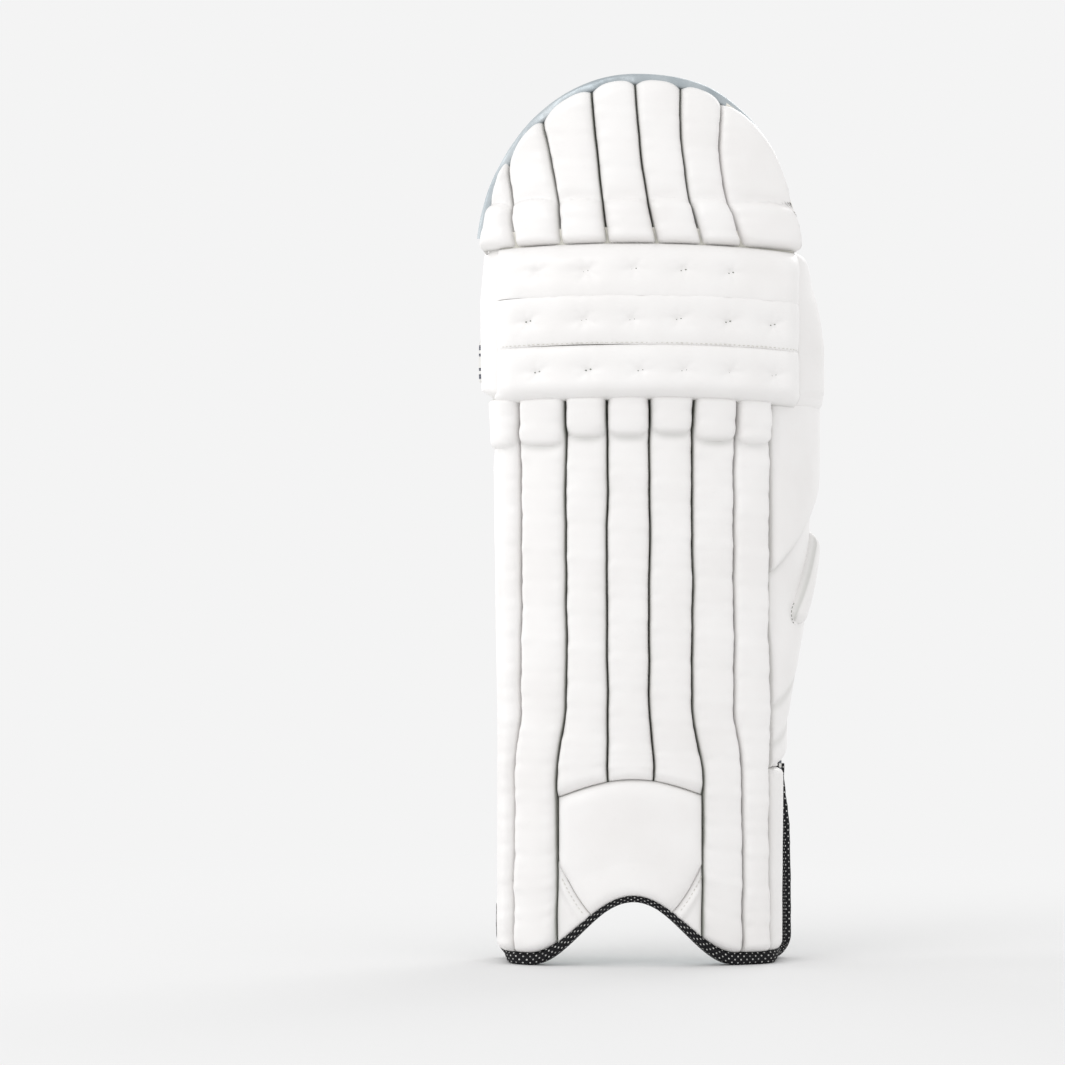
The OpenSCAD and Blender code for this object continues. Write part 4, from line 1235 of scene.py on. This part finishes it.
def knee_backing():
    z = rows_between(KNEE_Z + 2, HAT_Z - 4, 4)[:, None]
    u = np.linspace(0, 1, 100)[None, :]
    s = mix(-edge_of(-1, z) + 0.6, edge_of(1, z) - 0.6, u)
    grids = [section(s, z, layer + 0 * s) for layer in (0, -SHELL_T)]
    return slab("knee_backing", *grids, EDGE, seam=0 * s)


def knee_lining(name, side, start):
    """The thinner part of a knee pad, which carries on to the rear edge."""
    z = rows_between(KNEE_Z + 9, HAT_Z - 5, 3)[:, None]
    s = mix(start, edge_of(side, z) - 1.5, spread(34, 0.5)[None, :])
    near = np.minimum(s[:, -1:] - s, np.minimum(z - KNEE_Z - 9, HAT_Z - 5 - z))
    base = -SHELL_T - 0.4
    deep = 1.2 + 7.0 * side_round(near, 12) + 0.4 * waver(z / 26, s / 21, 6 + side)
    grids = [section(side * s, z, base + 0 * s), section(side * s, z, base - deep)]
    # Painted shade along the lining's edges
    shade_tone = seam_tone(near, 0.6, 0.35)
    if side < 0:
        grids = [grid[:, ::-1] for grid in grids]
        shade_tone = shade_tone[:, ::-1]
    piece = slab(f"knee_pad_{name}_lining", *grids, LINING, seam=shade_tone, holes=0 * shade_tone)
    return piece


# ---------------------------------------------------------------- folds between the sections


def fold_cloth(name, low, high, n_out, n_in, body_a, body_b, z_ref, left, right, bow=2.5):
    """A gusset of soft cloth across a fold, drawn thinner at the middle of its height."""
    z = rows_between(low, high, 1.6)[:, None]
    u = np.linspace(0, 1, 120)[None, :]
    s = mix(left, right, u) + 0 * z
    sag = bow * np.sin(np.pi * (z - low) / (high - low))
    drop = knee_lean(s)
    outer = section(s, z + drop, n_out - sag)
    inner = section(s, z + drop, n_in + sag)
    # Painted shade, deepest at the middle of the fold
    crease = 0.25 * np.sin(np.pi * (z - low) / (high - low)) + 0 * s
    piece = slab(name, outer, inner, EDGE, seam=crease)
    middle = (0, z_ref[0], low * MM), (0, z_ref[0], high * MM)
    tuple(middle[0])
    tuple(middle[1])
    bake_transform(piece)
    return piece


# ---------------------------------------------------------------- top hat

RIM_MID = 2.0
RIM_MEDIAL_W, RIM_MEDIAL_Z = 133.0, HAT_Z - 15
RIM_WING_W, RIM_WING_Z = 139.0, HAT_Z - 6
RIM_POWER = 2.3
RIM_FLARE = 8.0


def rim(t, inset=0.0, first=16):
    """The rim of the top hat as x and z, from the medial side over the top to the wing side."""
    t = np.asarray(t, float)
    a = np.radians(mix(first, 90, clamp(2 * t)))
    medial = (
        RIM_MID - (RIM_MEDIAL_W - inset) * np.cos(a),
        RIM_MEDIAL_Z + (PAD_TOP - RIM_MEDIAL_Z - inset) * np.sin(a),
    )
    b = np.radians(mix(90, 12, clamp(2 * t - 1)))
    power = 2 / RIM_POWER
    z = RIM_WING_Z + (PAD_TOP - RIM_WING_Z - inset) * np.sin(b) ** power
    flare = RIM_FLARE * clamp(1 - (z - RIM_WING_Z) / 60)
    wing = (RIM_MID + (RIM_WING_W - inset) * np.cos(b) ** power + flare, z)
    return tuple(np.where(t < 0.5, m, w) for m, w in zip(medial, wing))


def rim_height(x, inset):
    d = np.asarray(x, float) - RIM_MID
    medial = RIM_MEDIAL_Z + (PAD_TOP - RIM_MEDIAL_Z - inset) * np.sqrt(
        np.maximum(0, 1 - (np.minimum(d, 0) / (RIM_MEDIAL_W - inset)) ** 2)
    )
    wing = RIM_WING_Z + (PAD_TOP - RIM_WING_Z - inset) * np.maximum(
        0, 1 - (np.maximum(d, 0) / (RIM_WING_W - inset)) ** RIM_POWER
    ) ** (1 / RIM_POWER)
    return np.where(d < 0, medial, wing)


def hat_low(x):
    return HAT_Z + 1.5 + 5 * (x / 140) ** 2


def hat_seam(k, v):
    wobble = 0.7 * ripple(v * 5.2, k + 2) * np.sin(np.pi * clamp(v))
    low, middle, high = (seams[k] for seams in HAT_SEAMS)
    slope = (middle - low) / 0.45
    bend = ((high - middle) / 0.45 - slope) / 0.9
    return low + slope * (v - 0.1) + bend * (v - 0.1) * (v - 0.55) + wobble


def top_hat_roll(i):
    """An upright roll of the top hat, with the fuller step that its knee end has."""
    v = spread(92, 0.35)[:, None]
    u = spread(27)[None, :]
    left, right = hat_seam(i - 1, v) + 0.25, hat_seam(i, v) - 0.25
    x = mix(left, right, u)
    top = rim_height(x, 4.5 + 4.5 * np.abs(2 * u - 1) ** 3)
    low = HAT_Z - 0.5 - 4 * (x / 130) ** 2
    z = mix(low, top, v)
    near_left, near_right = x - left, right - x
    near = np.minimum(near_left, near_right)
    up, down = z - low, top - z
    side = side_round(near, 7, 2.8) * (1 + 0.15 * ripple(z / 6, i) * np.exp(-near / 7))
    across = 2 * u - 1
    step_z = 31 + 8 * np.sqrt(1 - (0.97 * np.abs(across)) ** 2.6) + 1.5 * ripple(i * 1.9, 2)
    step = 7.4 * side_round(step_z - up, 12, 2.2) * (1 - 0.3 * np.abs(across) ** 3)
    lip = 2.2 * np.exp(-(((up - step_z - 2) / 5) ** 2)) * (1 - across**2)
    pad = 13.5 * (0.88 + 0.12 * (1 - across**2)) + step - lip
    pad = pad + 0.5 * waver(z / 30, x / 17, i + 11)
    ends = side_round(up, 9, 2) * side_round(down, 13, 2.1)
    n = 2.4 + (pad - 2.4) * side * ends
    # Painted shade along the seams, a little lighter near the knee end, and along the lower edge
    shade_tone = np.maximum(
        seam_tone(near_left, HAT_SEAM_SHADE[i - 1]), seam_tone(near_right, HAT_SEAM_SHADE[i])
    )
    fade = 0.75 + 0.25 * smooth((up - 10) / 60)
    shade_tone = np.maximum(shade_tone * fade, seam_tone(up, 0.3, 0.25))
    grids = [hat_section(x, z, layer) for layer in (n, 0.6 + 0 * n)]
    piece = slab(f"top_hat_roll_{i}_leather", *grids, FACE, seam=shade_tone)
    return piece


def hat_grid(inset, rows, cols):
    """Places that fill the outline of the top hat, as x, z and the distance from its outline."""
    u = np.linspace(0, 1, cols)[None, :]
    v = spread(rows, 0.5)[:, None]
    top_x, top_z = rim(u, inset)
    left = -RIM_MEDIAL_W + RIM_MID + inset + 1
    right = RIM_WING_W + RIM_MID + RIM_FLARE - inset - 3
    low_x = mix(left, right, u)
    x = mix(low_x, top_x, v)
    z = mix(hat_low(low_x), top_z, v)
    gap = np.hypot(x - top_x, z - top_z)
    gap = np.minimum(gap, np.minimum(x - left, right - x) + 0.25 * (z - HAT_Z))
    return x, z, np.maximum(gap, 0)


def top_hat_backing():
    x, z, _ = hat_grid(4, 30, 70)
    grids = [hat_section(x, z, layer + 0 * x) for layer in (0, -SHELL_T)]
    return slab("top_hat_backing", *grids, EDGE, seam=0 * x)


def top_hat_lining():
    """Satin over thin padding, drawn in a little along two upright seams."""
    x, z, near = hat_grid(4.5, 60, 150)
    low = z - hat_low(x)
    full = side_round(near, 16, 2.2) * (0.35 + 0.65 * side_round(low, 10, 2.2))
    draw = sum(np.exp(-(((x - place) / 13) ** 2)) for place in (-58, 70)) * smooth((70 - low) / 60)
    n = -SHELL_T - 1.2 - 8.6 * full + 2.4 * draw * full + 0.7 * waver(x / 31, z / 27, 3) * full
    # Painted shade along the lining's lower edge
    shade_tone = seam_tone(low, 0.75, 0.3) + 0 * x
    piece = slab(
        "top_hat_lining_satin",
        hat_section(x, z, 0 * x - SHELL_T - 0.3),
        hat_section(x, z, n),
        HALFTONE,
        seam=shade_tone,
    )
    return piece


def hat_piping():
    """Silver binding folded over the rim, pinched where each seam of the rolls runs into it."""
    t = np.linspace(0, 1, 260)
    x, z = rim(t, 0.0, 8)
    seams = HAT_SEAMS[2]
    pinch = sum(np.exp(-(((x - place) / 9) ** 2)) for place in seams[1:7])
    slide = smooth((t - 0.62) / 0.12)
    rings = []
    profile = rounded_box(1, 1, 0.62, 5)
    run = np.cumsum(np.hypot(np.gradient(x), np.gradient(z)))
    inward_x, inward_z = rim(t, 1.0, 8)
    inward = unit(np.stack([inward_x - x, inward_z - z], -1))
    for k in range(len(t)):
        deep = 7.6 + 2.4 * pinch[k] + 0.4 * ripple(run[k] / 7, 2)
        half_n = mix(6.6 + 0.5 * ripple(run[k] / 11, 6), 3.6, slide[k])
        q = deep / 2 * (1 + profile[:, 0])
        gather = 0.5 * ripple(run[k] / 3.1, 5) * (1 + profile[:, 0]) / 2
        crown = 1.2 * pinch[k] * (profile[:, 0] > 0) + gather
        sunk = 1.0 + 4.6 * slide[k] + 3.0 * smooth((t[k] - 0.88) / 0.1)
        n = (half_n + crown) * profile[:, 1] - sunk
        px, pz = x[k] + inward[k, 0] * q, z[k] + inward[k, 1] * q
        rings.append(hat_section(px, pz, n))
    rings = np.array(rings)
    # Painted shade in the folds where the piping is pinched
    crease = 0.5 * clamp(pinch[:, None]) * np.exp(-(((profile[None, :, 0] - 1) / 0.5) ** 2))
    return loft("top_hat_piping_satin", rings[:, ::-1], PIPING, seam=crease[:, ::-1])


# ---------------------------------------------------------------- leg side


def bolster(name, s0, s1, low, high, deep, material, seed):
    """A long cushion on the leg side. Its edges pull in, and it is flat against the shell."""
    z = rows_between(low, high, 2.4)[:, None]
    u = spread(40)[None, :]
    s = mix(s0, s1, u) + 0 * z
    near = np.minimum(s - s0, s1 - s)
    ends = side_round(z - low, 15, 2.1) * side_round(high - z, 15, 2.1)
    full = side_round(near, 20, 2.1) * ends
    middle = 1 - 0.10 * (2 * u - 1) ** 2
    n = 2.0 + (deep * middle - 2.0) * full + (0.8 * waver(z / 41, s / 23, seed)) * full
    n = n + 0.5 * ripple(z / 7, seed) * np.exp(-near / 8) * full
    near_all = np.minimum(near, np.minimum(z - low, high - z))
    # Painted shade along the cushion's edges and ends
    values = {"seam": seam_tone(near_all, 0.5, 0.3)}
    if material is LINING:
        values["holes"] = smooth((430 - z) / 60) + 0 * s
    base = -SHELL_T - 0.5
    piece = slab(name, section(s, z, base + 0 * n), section(s, z, base - n), material, **values)
    return piece


def seam_cord(name, s, low, high, n=-9.0):
    """A thin near-black cord that runs down beside the silver bolster; its dark colour also stands
    in for the shade in the gap there.
    """
    z = np.linspace(low, high, 120)
    path = section(s + 0.3 * ripple(z / 23, 2), z, n + 0 * z)
    return tube(name, path, 1.0, DARK, 8, up=(0, 1, 0))


# ---------------------------------------------------------------- straps and rings

RING_PLACES = {}
for _strap in ("knee", "calf", "ankle"):
    _turn = JOINTS[f"ring_{_strap}_turn"]["pos_m"]
    _open = JOINTS[f"strap_{_strap}_open"]["pos_m"]
    RING_PLACES[_strap] = (np.array(_turn) / MM, np.array(_open) / MM)
STRAP_WIDTHS = {"knee": 35.0, "calf": 62.0, "ankle": 62.0}
WEBS = {"knee": KNEE_WEB, "calf": WIDE_WEB, "ankle": WIDE_WEB}
BAR_R = 2.2
LOOP_R = BAR_R + 0.4
WEB_T = 2.0


def plan_place(s, z, n):
    return section(s, z, n)[:2]


def bezier(a, b, c, d, steps):
    t = np.linspace(0, 1, steps + 1)[:, None]
    k = 1 - t
    return a * k**3 + 3 * b * k * k * t + 3 * c * k * t * t + d * t**3


def strap_path(strap):
    """Across the back of the leg, round the medial edge and forward on its wall."""
    bar_a, bar_b = (place[:2] for place in RING_PLACES[strap])
    z = RING_PLACES[strap][0][2]
    way = unit(bar_b - bar_a)
    n = 10.9 if strap == "knee" else 10.6
    edge = float(edge_of(-1, z))
    turn = plan_place(-edge - 9, z, n)
    start = bar_b + way * (LOOP_R + WEB_T / 2)
    back = bezier(start, start + way * 90, turn + [26, 34], turn + [1, 5], 40)
    wall = [plan_place(-edge + run, z, n) for run in np.arange(2, 27.5, 2.5)]
    return np.concatenate([back, [turn], wall])


def tab_path(strap):
    """Up the outer face of the wing, round its edge and in to the ring."""
    bar_a, bar_b = (place[:2] for place in RING_PLACES[strap])
    z = RING_PLACES[strap][0][2] + STRAP_WIDTHS[strap] / 2
    way = unit(bar_b - bar_a)
    n = {"knee": 9.9, "calf": 2.0, "ankle": 5.8}[strap]
    first, last = {"knee": (13, 1.5), "calf": (-1, -3), "ankle": (26, 1.5)}[strap]
    edge = float(edge_of(1, z))
    turn = plan_place(edge + 7, z, n)
    wall = [plan_place(edge - back, z, n) for back in np.linspace(first, last, 10)]
    rest = bezier(turn, turn + [0, 8], bar_a + [16, 2], bar_a - way * (LOOP_R + WEB_T / 2), 24)
    return np.concatenate([wall, rest])


def resample(path, count):
    run = np.concatenate([[0], np.cumsum(np.linalg.norm(np.diff(path, axis=0), axis=1))])
    at = np.linspace(0, run[-1], count)
    return np.stack([np.interp(at, run, path[:, k]) for k in range(path.shape[1])], -1), at


def webbing(name, path, z_mid, width, material, bar, at_start, lift=None, curl=0.35):
    """A length of webbing standing on its path in plan, with a sewn loop round the bar."""
    path, run = resample(path, 150)
    end = path[0] if at_start else path[-1]
    centre = np.asarray(bar[:2], float)
    reach = unit(end - centre)
    start_angle = math.atan2(reach[1], reach[0])
    t = np.linspace(0.35, 2 * np.pi - 0.35, 26)
    turned = np.stack([np.cos(start_angle + t), np.sin(start_angle + t)], -1)
    ring = centre + (LOOP_R + WEB_T / 2) * turned
    z_shift = np.zeros(len(path)) if lift is None else lift(run / run[-1])
    cross = np.linspace(-1, 1, 13)
    thick = WEB_T / 2 * (1 - 0.55 * np.abs(cross) ** 8)

    def skin(line, shift, runs, part):
        flow = unit(np.gradient(line, axis=0))
        side = np.stack([-flow[:, 1], flow[:, 0]], -1)
        sway = curl * ripple(runs / 26, 3)[:, None] * cross[None, :]
        sway = sway + 0.25 * ripple(runs / 17, 5)[:, None]
        heights = z_mid + shift[:, None] + width / 2 * cross[None, :]
        grids = []
        for sign in (1, -1):
            off = sign * thick[None, :] + sway
            flat = line[:, None] + side[:, None] * off[..., None]
            grids.append(np.concatenate([flat, heights[..., None]], -1))
        across = np.broadcast_to((cross[None, :] + 1) / 2, heights.shape)
        lengths = np.broadcast_to(runs[:, None], heights.shape)
        values = {"across": across, "along": lengths, "width": 0 * across + width}
        return slab(part, grids[1], grids[0], material, **values)

    body = skin(path, z_shift, run, name)
    end_shift = z_shift[0] if at_start else z_shift[-1]
    loop_runs = np.linspace(0, 2 * np.pi * LOOP_R, len(ring))
    loop = skin(ring, np.full(len(ring), end_shift), loop_runs, name + "_loop")
    return body, loop


def sewn_across(name, path, run_at, z_mid, width, side=1, rows=1):
    """Stitch rows across a strap, where its loop is sewn down."""
    line, run = resample(path, 200)
    made = []
    for row in range(rows):
        k = int(np.searchsorted(run, run_at % run[-1] + 3.2 * row))
        flow = unit(line[k + 1] - line[k - 1])
        out = side * np.array([-flow[1], flow[0], 0])
        z = np.linspace(z_mid - width / 2 + 1.5, z_mid + width / 2 - 1.5, 40)
        points = np.stack([0 * z + line[k, 0], 0 * z + line[k, 1], z], -1) + out * (WEB_T / 2 + 0.1)
        outs = np.tile(out, (40, 1))
        made.append(stitches(f"{name}_{row}", points, outs, THREAD, 3.4, 2.5, 0.42))
    return made


def ring_loop(strap):
    """A moulded loop: two round bars, with broad round ends that stand clear of the webbing."""
    bar_a, bar_b = RING_PLACES[strap]
    half = STRAP_WIDTHS[strap] / 2 + 3 + BAR_R
    way = unit(bar_b - bar_a)
    span = float(np.linalg.norm(bar_b - bar_a))
    corner = 5.0
    turn = np.linspace(0, np.pi / 2, 7)
    points = []
    far, high = span - corner, half - corner
    for first, (cx, cz) in enumerate(((far, high), (corner, high), (corner, -high), (far, -high))):
        for t in turn + first * np.pi / 2:
            points.append((cx + corner * np.cos(t), cz + corner * np.sin(t)))
        if first in (0, 2):
            steps = np.linspace(points[-1][0], corner if first == 0 else far, 6)[1:-1]
            points += [(q, points[-1][1]) for q in steps]
        else:
            steps = np.linspace(points[-1][1], -high if first == 1 else high, 16)[1:-1]
            points += [(points[-1][0], q) for q in steps]
    points = np.array(points)
    path = bar_a[None] + points[:, :1] * way[None] + points[:, 1:] * np.array([[0, 0, 1]])
    across = np.cross(way, [0, 0, 1])
    ends = smooth((np.abs(points[:, 1]) - high) / corner)
    path_way = unit(np.roll(path, -1, 0) - np.roll(path, 1, 0))
    inward = np.cross(path_way, across)
    t = np.linspace(0, 2 * np.pi, 14, endpoint=False)
    wide = (BAR_R + 1.6 * ends)[:, None, None]
    slim = (BAR_R + 0.3 * ends)[:, None, None]
    rings = path[:, None] + slim * np.cos(t)[None, :, None] * inward[:, None]
    rings = rings + wide * np.sin(t)[None, :, None] * across[None, None, :]
    return loft(f"ring_{strap}_plastic", rings[:, ::-1], RING, closed=True)


def label():
    """A blank cream patch, sewn on the calf strap."""
    path, run = resample(strap_path("calf"), 200)
    z_mid = RING_PLACES["calf"][0][2]
    start, stop = (int(np.searchsorted(run, q)) for q in (45, 105))
    line = path[start:stop]
    flow = unit(np.gradient(line, axis=0))
    side = np.stack([-flow[:, 1], flow[:, 0]], -1)
    heights = np.linspace(-17, 17, 21)
    soft = 1 - 0.6 * np.abs(heights / 17) ** 10
    ends = 1 - 0.6 * np.abs(np.linspace(-1, 1, len(line))) ** 20
    grids = []
    for layer in (-1.45, -1.45 - 0.75):
        off = layer * np.ones((len(line), len(heights)))
        if layer < -2:
            off = -1.45 - 0.75 * soft[None, :] * ends[:, None]
        flat = line[:, None] + side[:, None] * off[..., None]
        z = z_mid + heights[None, :] + 0 * off
        grids.append(np.concatenate([flat, z[..., None]], -1))
    piece = slab("strap_label_cloth", grids[1], grids[0], EDGE, seam=np.zeros(grids[0].shape[:2]))
    inner = line[3:-3]
    box = []
    for k in range(len(inner)):
        box.append([*(inner[k] - side[3 + k] * 2.2), z_mid + 14.2])
    low = [[*(inner[k] - side[3 + k] * 2.2), z_mid - 14.2] for k in range(len(inner))][::-1]
    rise = np.linspace(1, -1, 12)[1:-1]
    box += [[box[-1][0], box[-1][1], z_mid + 14.2 * q] for q in rise]
    box += low
    box += [[low[-1][0], low[-1][1], z_mid + 14.2 * q] for q in -rise]
    outward = -side[len(side) // 2]
    outs = np.tile([*outward, 0], (len(box), 1))
    sewn = stitches("strap_label_stitch", box, outs, THREAD, 2.6, 1.8, 0.3)
    return piece, sewn


def loop_patch(name, z_mid, width, s_front):
    z = np.linspace(z_mid - width / 2, z_mid + width / 2, 40)[:, None]
    s = -s_front - np.linspace(0, 22, 20)[None, ::-1] + 0 * z
    near = np.minimum(s + s_front + 22, -s_front - s)
    n = 7.5 + 0.75 * side_round(near, 1.2, 2) + 0.12 * waver(s * 2, z * 2, 1)
    return slab(name, section(s, z, n), section(s, z, 7.2 + 0 * n), PILE)


# ---------------------------------------------------------------- building


def settle(piece, body, slot, *nodes):
    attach(piece, body)
    if nodes:
        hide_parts(*nodes)
    return piece


def build_shin():
    settle(shin_backing(), "shin", "backing", "shin_shell")
    settle(ankle_wall(), "shin", "face_leather", "ankle_side_wall")
    settle(medial_wall(), "shin", "face_leather", "shin_side_panel")
    for i in range(1, 8):
        settle(shin_roll(i), "shin", "face_leather", f"shin_roll_{i}")
    for strip_ in canes():
        settle(strip_, "shin", "cane", "shin_canes")
    settle(instep_shield(), "shin", "face_leather", "instep_shield")
    for side in (-1, 1):
        corner, sewn = instep_corner(side)
        settle(corner, "shin", "face_leather", "instep_corners")
        settle(sewn, "shin", "face_leather")
    settle(hem(), "shin", "hem_tape", "hem_binding")
    edge, sewn = bound_edge("medial_edge", -1, ANKLE_Z - 2, KNEE_Z - 3, -6, 7.6)
    settle(edge, "shin", "edge_binding", "medial_edge_binding")
    settle(sewn, "shin", "edge_binding")
    for name, z_mid, s_front in (("loop_patch_calf", 365, 150), ("loop_patch_ankle", 184, 143)):
        settle(loop_patch(name, z_mid, 54, s_front), "shin", "loop_pile", "loop_patches_shin")


def build_leg_side():
    inner = BOLSTER_MID + BOLSTER_GAP
    bands = (
        ("medial", -BOLSTER_MEDIAL, -inner),
        ("centre", -BOLSTER_MID, BOLSTER_MID),
        ("wing", inner, BOLSTER_WING),
    )
    for name, s0, s1 in bands:
        wide = 1.6 if name != "centre" else 1.2
        ends = s0 - wide, s1 + wide
        heights = ANKLE_BOLSTER_ENDS
        piece = bolster(f"ankle_bolster_{name}_mesh", *ends, *heights, 17, BLUE, 3 + s1 % 5)
        settle(piece, "shin", "blue_mesh", f"ankle_bolster_{name}")
        material, slot = (SILVER, "silver_satin") if name == "centre" else (LINING, "cream_lining")
        heights = SHIN_BOLSTER_LOWS[name], KNEE_Z - 4
        piece = bolster(f"shin_bolster_{name}_pad", *ends, *heights, 24, material, 5 + s1 % 3)
        settle(piece, "shin", slot, f"shin_bolster_{name}")
        if name != "centre":
            piece = bolster(f"mesh_end_{name}", *ends, *MESH_ENDS, 23, BEIGE, 2)
            settle(piece, "shin", "beige_mesh", "bolster_mesh_ends")
    for side in (-1, 1):
        cord = seam_cord(f"bolster_cord_{SIDE_NAMES[side]}", side * BOLSTER_CORD_S, 20, KNEE_Z - 12)
        settle(cord, "shin", "silver_satin")


def build_wing():
    settle(wing_base(), "wing", "face_leather", "wing_panel")
    for name, piece in wing_lobes().items():
        node = name if name != "wing_feather_0" else "wing_feather_1"
        settle(piece, "wing", "face_leather", node)
    piece, sewn = wing_finger()
    settle(piece, "wing", "face_leather", "wing_feather_3")
    settle(sewn, "wing", "face_leather")
    settle(wing_inside(), "wing", "cream_lining", "wing_lining")
    edge, sewn = bound_edge("wing_edge", 1, ANKLE_Z + 3, KNEE_Z - 14, -8, 5)
    settle(edge, "wing", "edge_binding", "wing_edge_binding")
    settle(sewn, "wing", "edge_binding")


def build_knee():
    settle(knee_backing(), "knee", "backing", "knee_shell")
    for i in range(3):
        name, piece = knee_roll(i)
        settle(piece, "knee", "face_leather", name)
    settle(tuft_threads(), "knee", "face_leather")
    for piece in knee_seam_stitches():
        settle(piece, "knee", "face_leather")
    for side in (-1, 1):
        name, piece = knee_side(side)
        settle(piece, "knee", "face_leather", name)
    mid = BOLSTER_MID + 1
    for name, s0, s1 in (("medial", -97, -mid - 2), ("centre", -mid, mid), ("wing", mid + 2, 117)):
        material, slot = (SILVER, "silver_satin") if name == "centre" else (LINING, "cream_lining")
        ends = s0, s1, KNEE_Z + 4, HAT_Z - 0.5
        piece = bolster(f"knee_pad_{name}_pad", *ends, 26, material, 4 + s1 % 3)
        settle(piece, "knee", slot, f"knee_pad_{name}")
    for name, side, s0 in (("medial", -1, 88), ("wing", 1, 108)):
        settle(knee_lining(name, side, s0), "knee", "cream_lining", f"knee_pad_{name}")
    for side in (-1, 1):
        place = side * BOLSTER_CORD_S
        cord = seam_cord(f"knee_cord_{SIDE_NAMES[side]}", place, KNEE_Z + 10, HAT_Z - 6)
        settle(cord, "knee", "silver_satin")
    settle(loop_patch("loop_patch_knee_pile", 517, 14, 150), "knee", "loop_pile", "loop_patch_knee")


def build_top_hat():
    settle(top_hat_backing(), "top_hat", "backing", "top_hat_shell")
    for i in range(1, 8):
        settle(top_hat_roll(i), "top_hat", "face_leather", f"top_hat_roll_{i}")
    settle(top_hat_lining(), "top_hat", "silver_satin", "top_hat_lining")
    settle(hat_piping(), "top_hat", "silver_piping", "top_hat_piping")


def build_folds():
    front = JOINTS["knee_flex"]["pos_m"][1]
    knee_ends, hat_ends = (KNEE_Z - 16, KNEE_Z + 18), (HAT_Z - 12, HAT_Z + 14)
    fold_cloth("knee_fold", *knee_ends, -1.5, -6.5, "shin", "knee", (front,), -168, 196)
    fold_cloth("hat_fold", *hat_ends, 10.5, -6.5, "knee", "top_hat", (front,), -110, 139, 1.0)


def build_straps():
    for strap in ("knee", "calf", "ankle"):
        bar_a, bar_b = RING_PLACES[strap]
        width, z = STRAP_WIDTHS[strap], bar_a[2]
        path = strap_path(strap)
        body, loop = webbing(f"strap_{strap}_web", path, z, width, WEBS[strap], bar_b, True)
        settle(body, f"strap_{strap}", "webbing", f"strap_{strap}")
        settle(loop, f"strap_{strap}", "webbing")
        for row in sewn_across(f"strap_{strap}_stitch", path, 27, z, width, -1):
            settle(row, f"strap_{strap}", "webbing")
        settle(ring_loop(strap), f"ring_{strap}", "ring_plastic", f"ring_{strap}")
        home = "knee" if strap == "knee" else "wing"
        tab = tab_path(strap)
        if strap == "calf":
            for side in (-1, 1):
                def lift(t, side=side):
                    return side * 6 * (1 - smooth((t - 0.25) / 0.6)) - 4 * (1 - t)
                name = "tab_calf_upper" if side > 0 else "tab_calf_lower"
                middle = z + side * 16.2
                half, loop = webbing(name, tab, middle, 29, TAB_WEB, bar_a, False, lift)
                settle(half, home, "webbing", "tab_calf")
                settle(loop, home, "webbing")
        else:
            body, loop = webbing(f"tab_{strap}_web", tab, z, width, WEBS[strap], bar_a, False)
            settle(body, home, "webbing", f"tab_{strap}")
            settle(loop, home, "webbing")
            for row in sewn_across(f"tab_{strap}_stitch", tab, -13, z, width, 1):
                settle(row, home, "webbing")
    patch, sewn = label()
    settle(patch, "strap_calf", "label_cloth", "strap_label")
    settle(sewn, "strap_calf", "label_cloth")


make_camera()
make_stage()
build_shin()
build_leg_side()
build_wing()
build_knee()
build_top_hat()
build_folds()
build_straps()
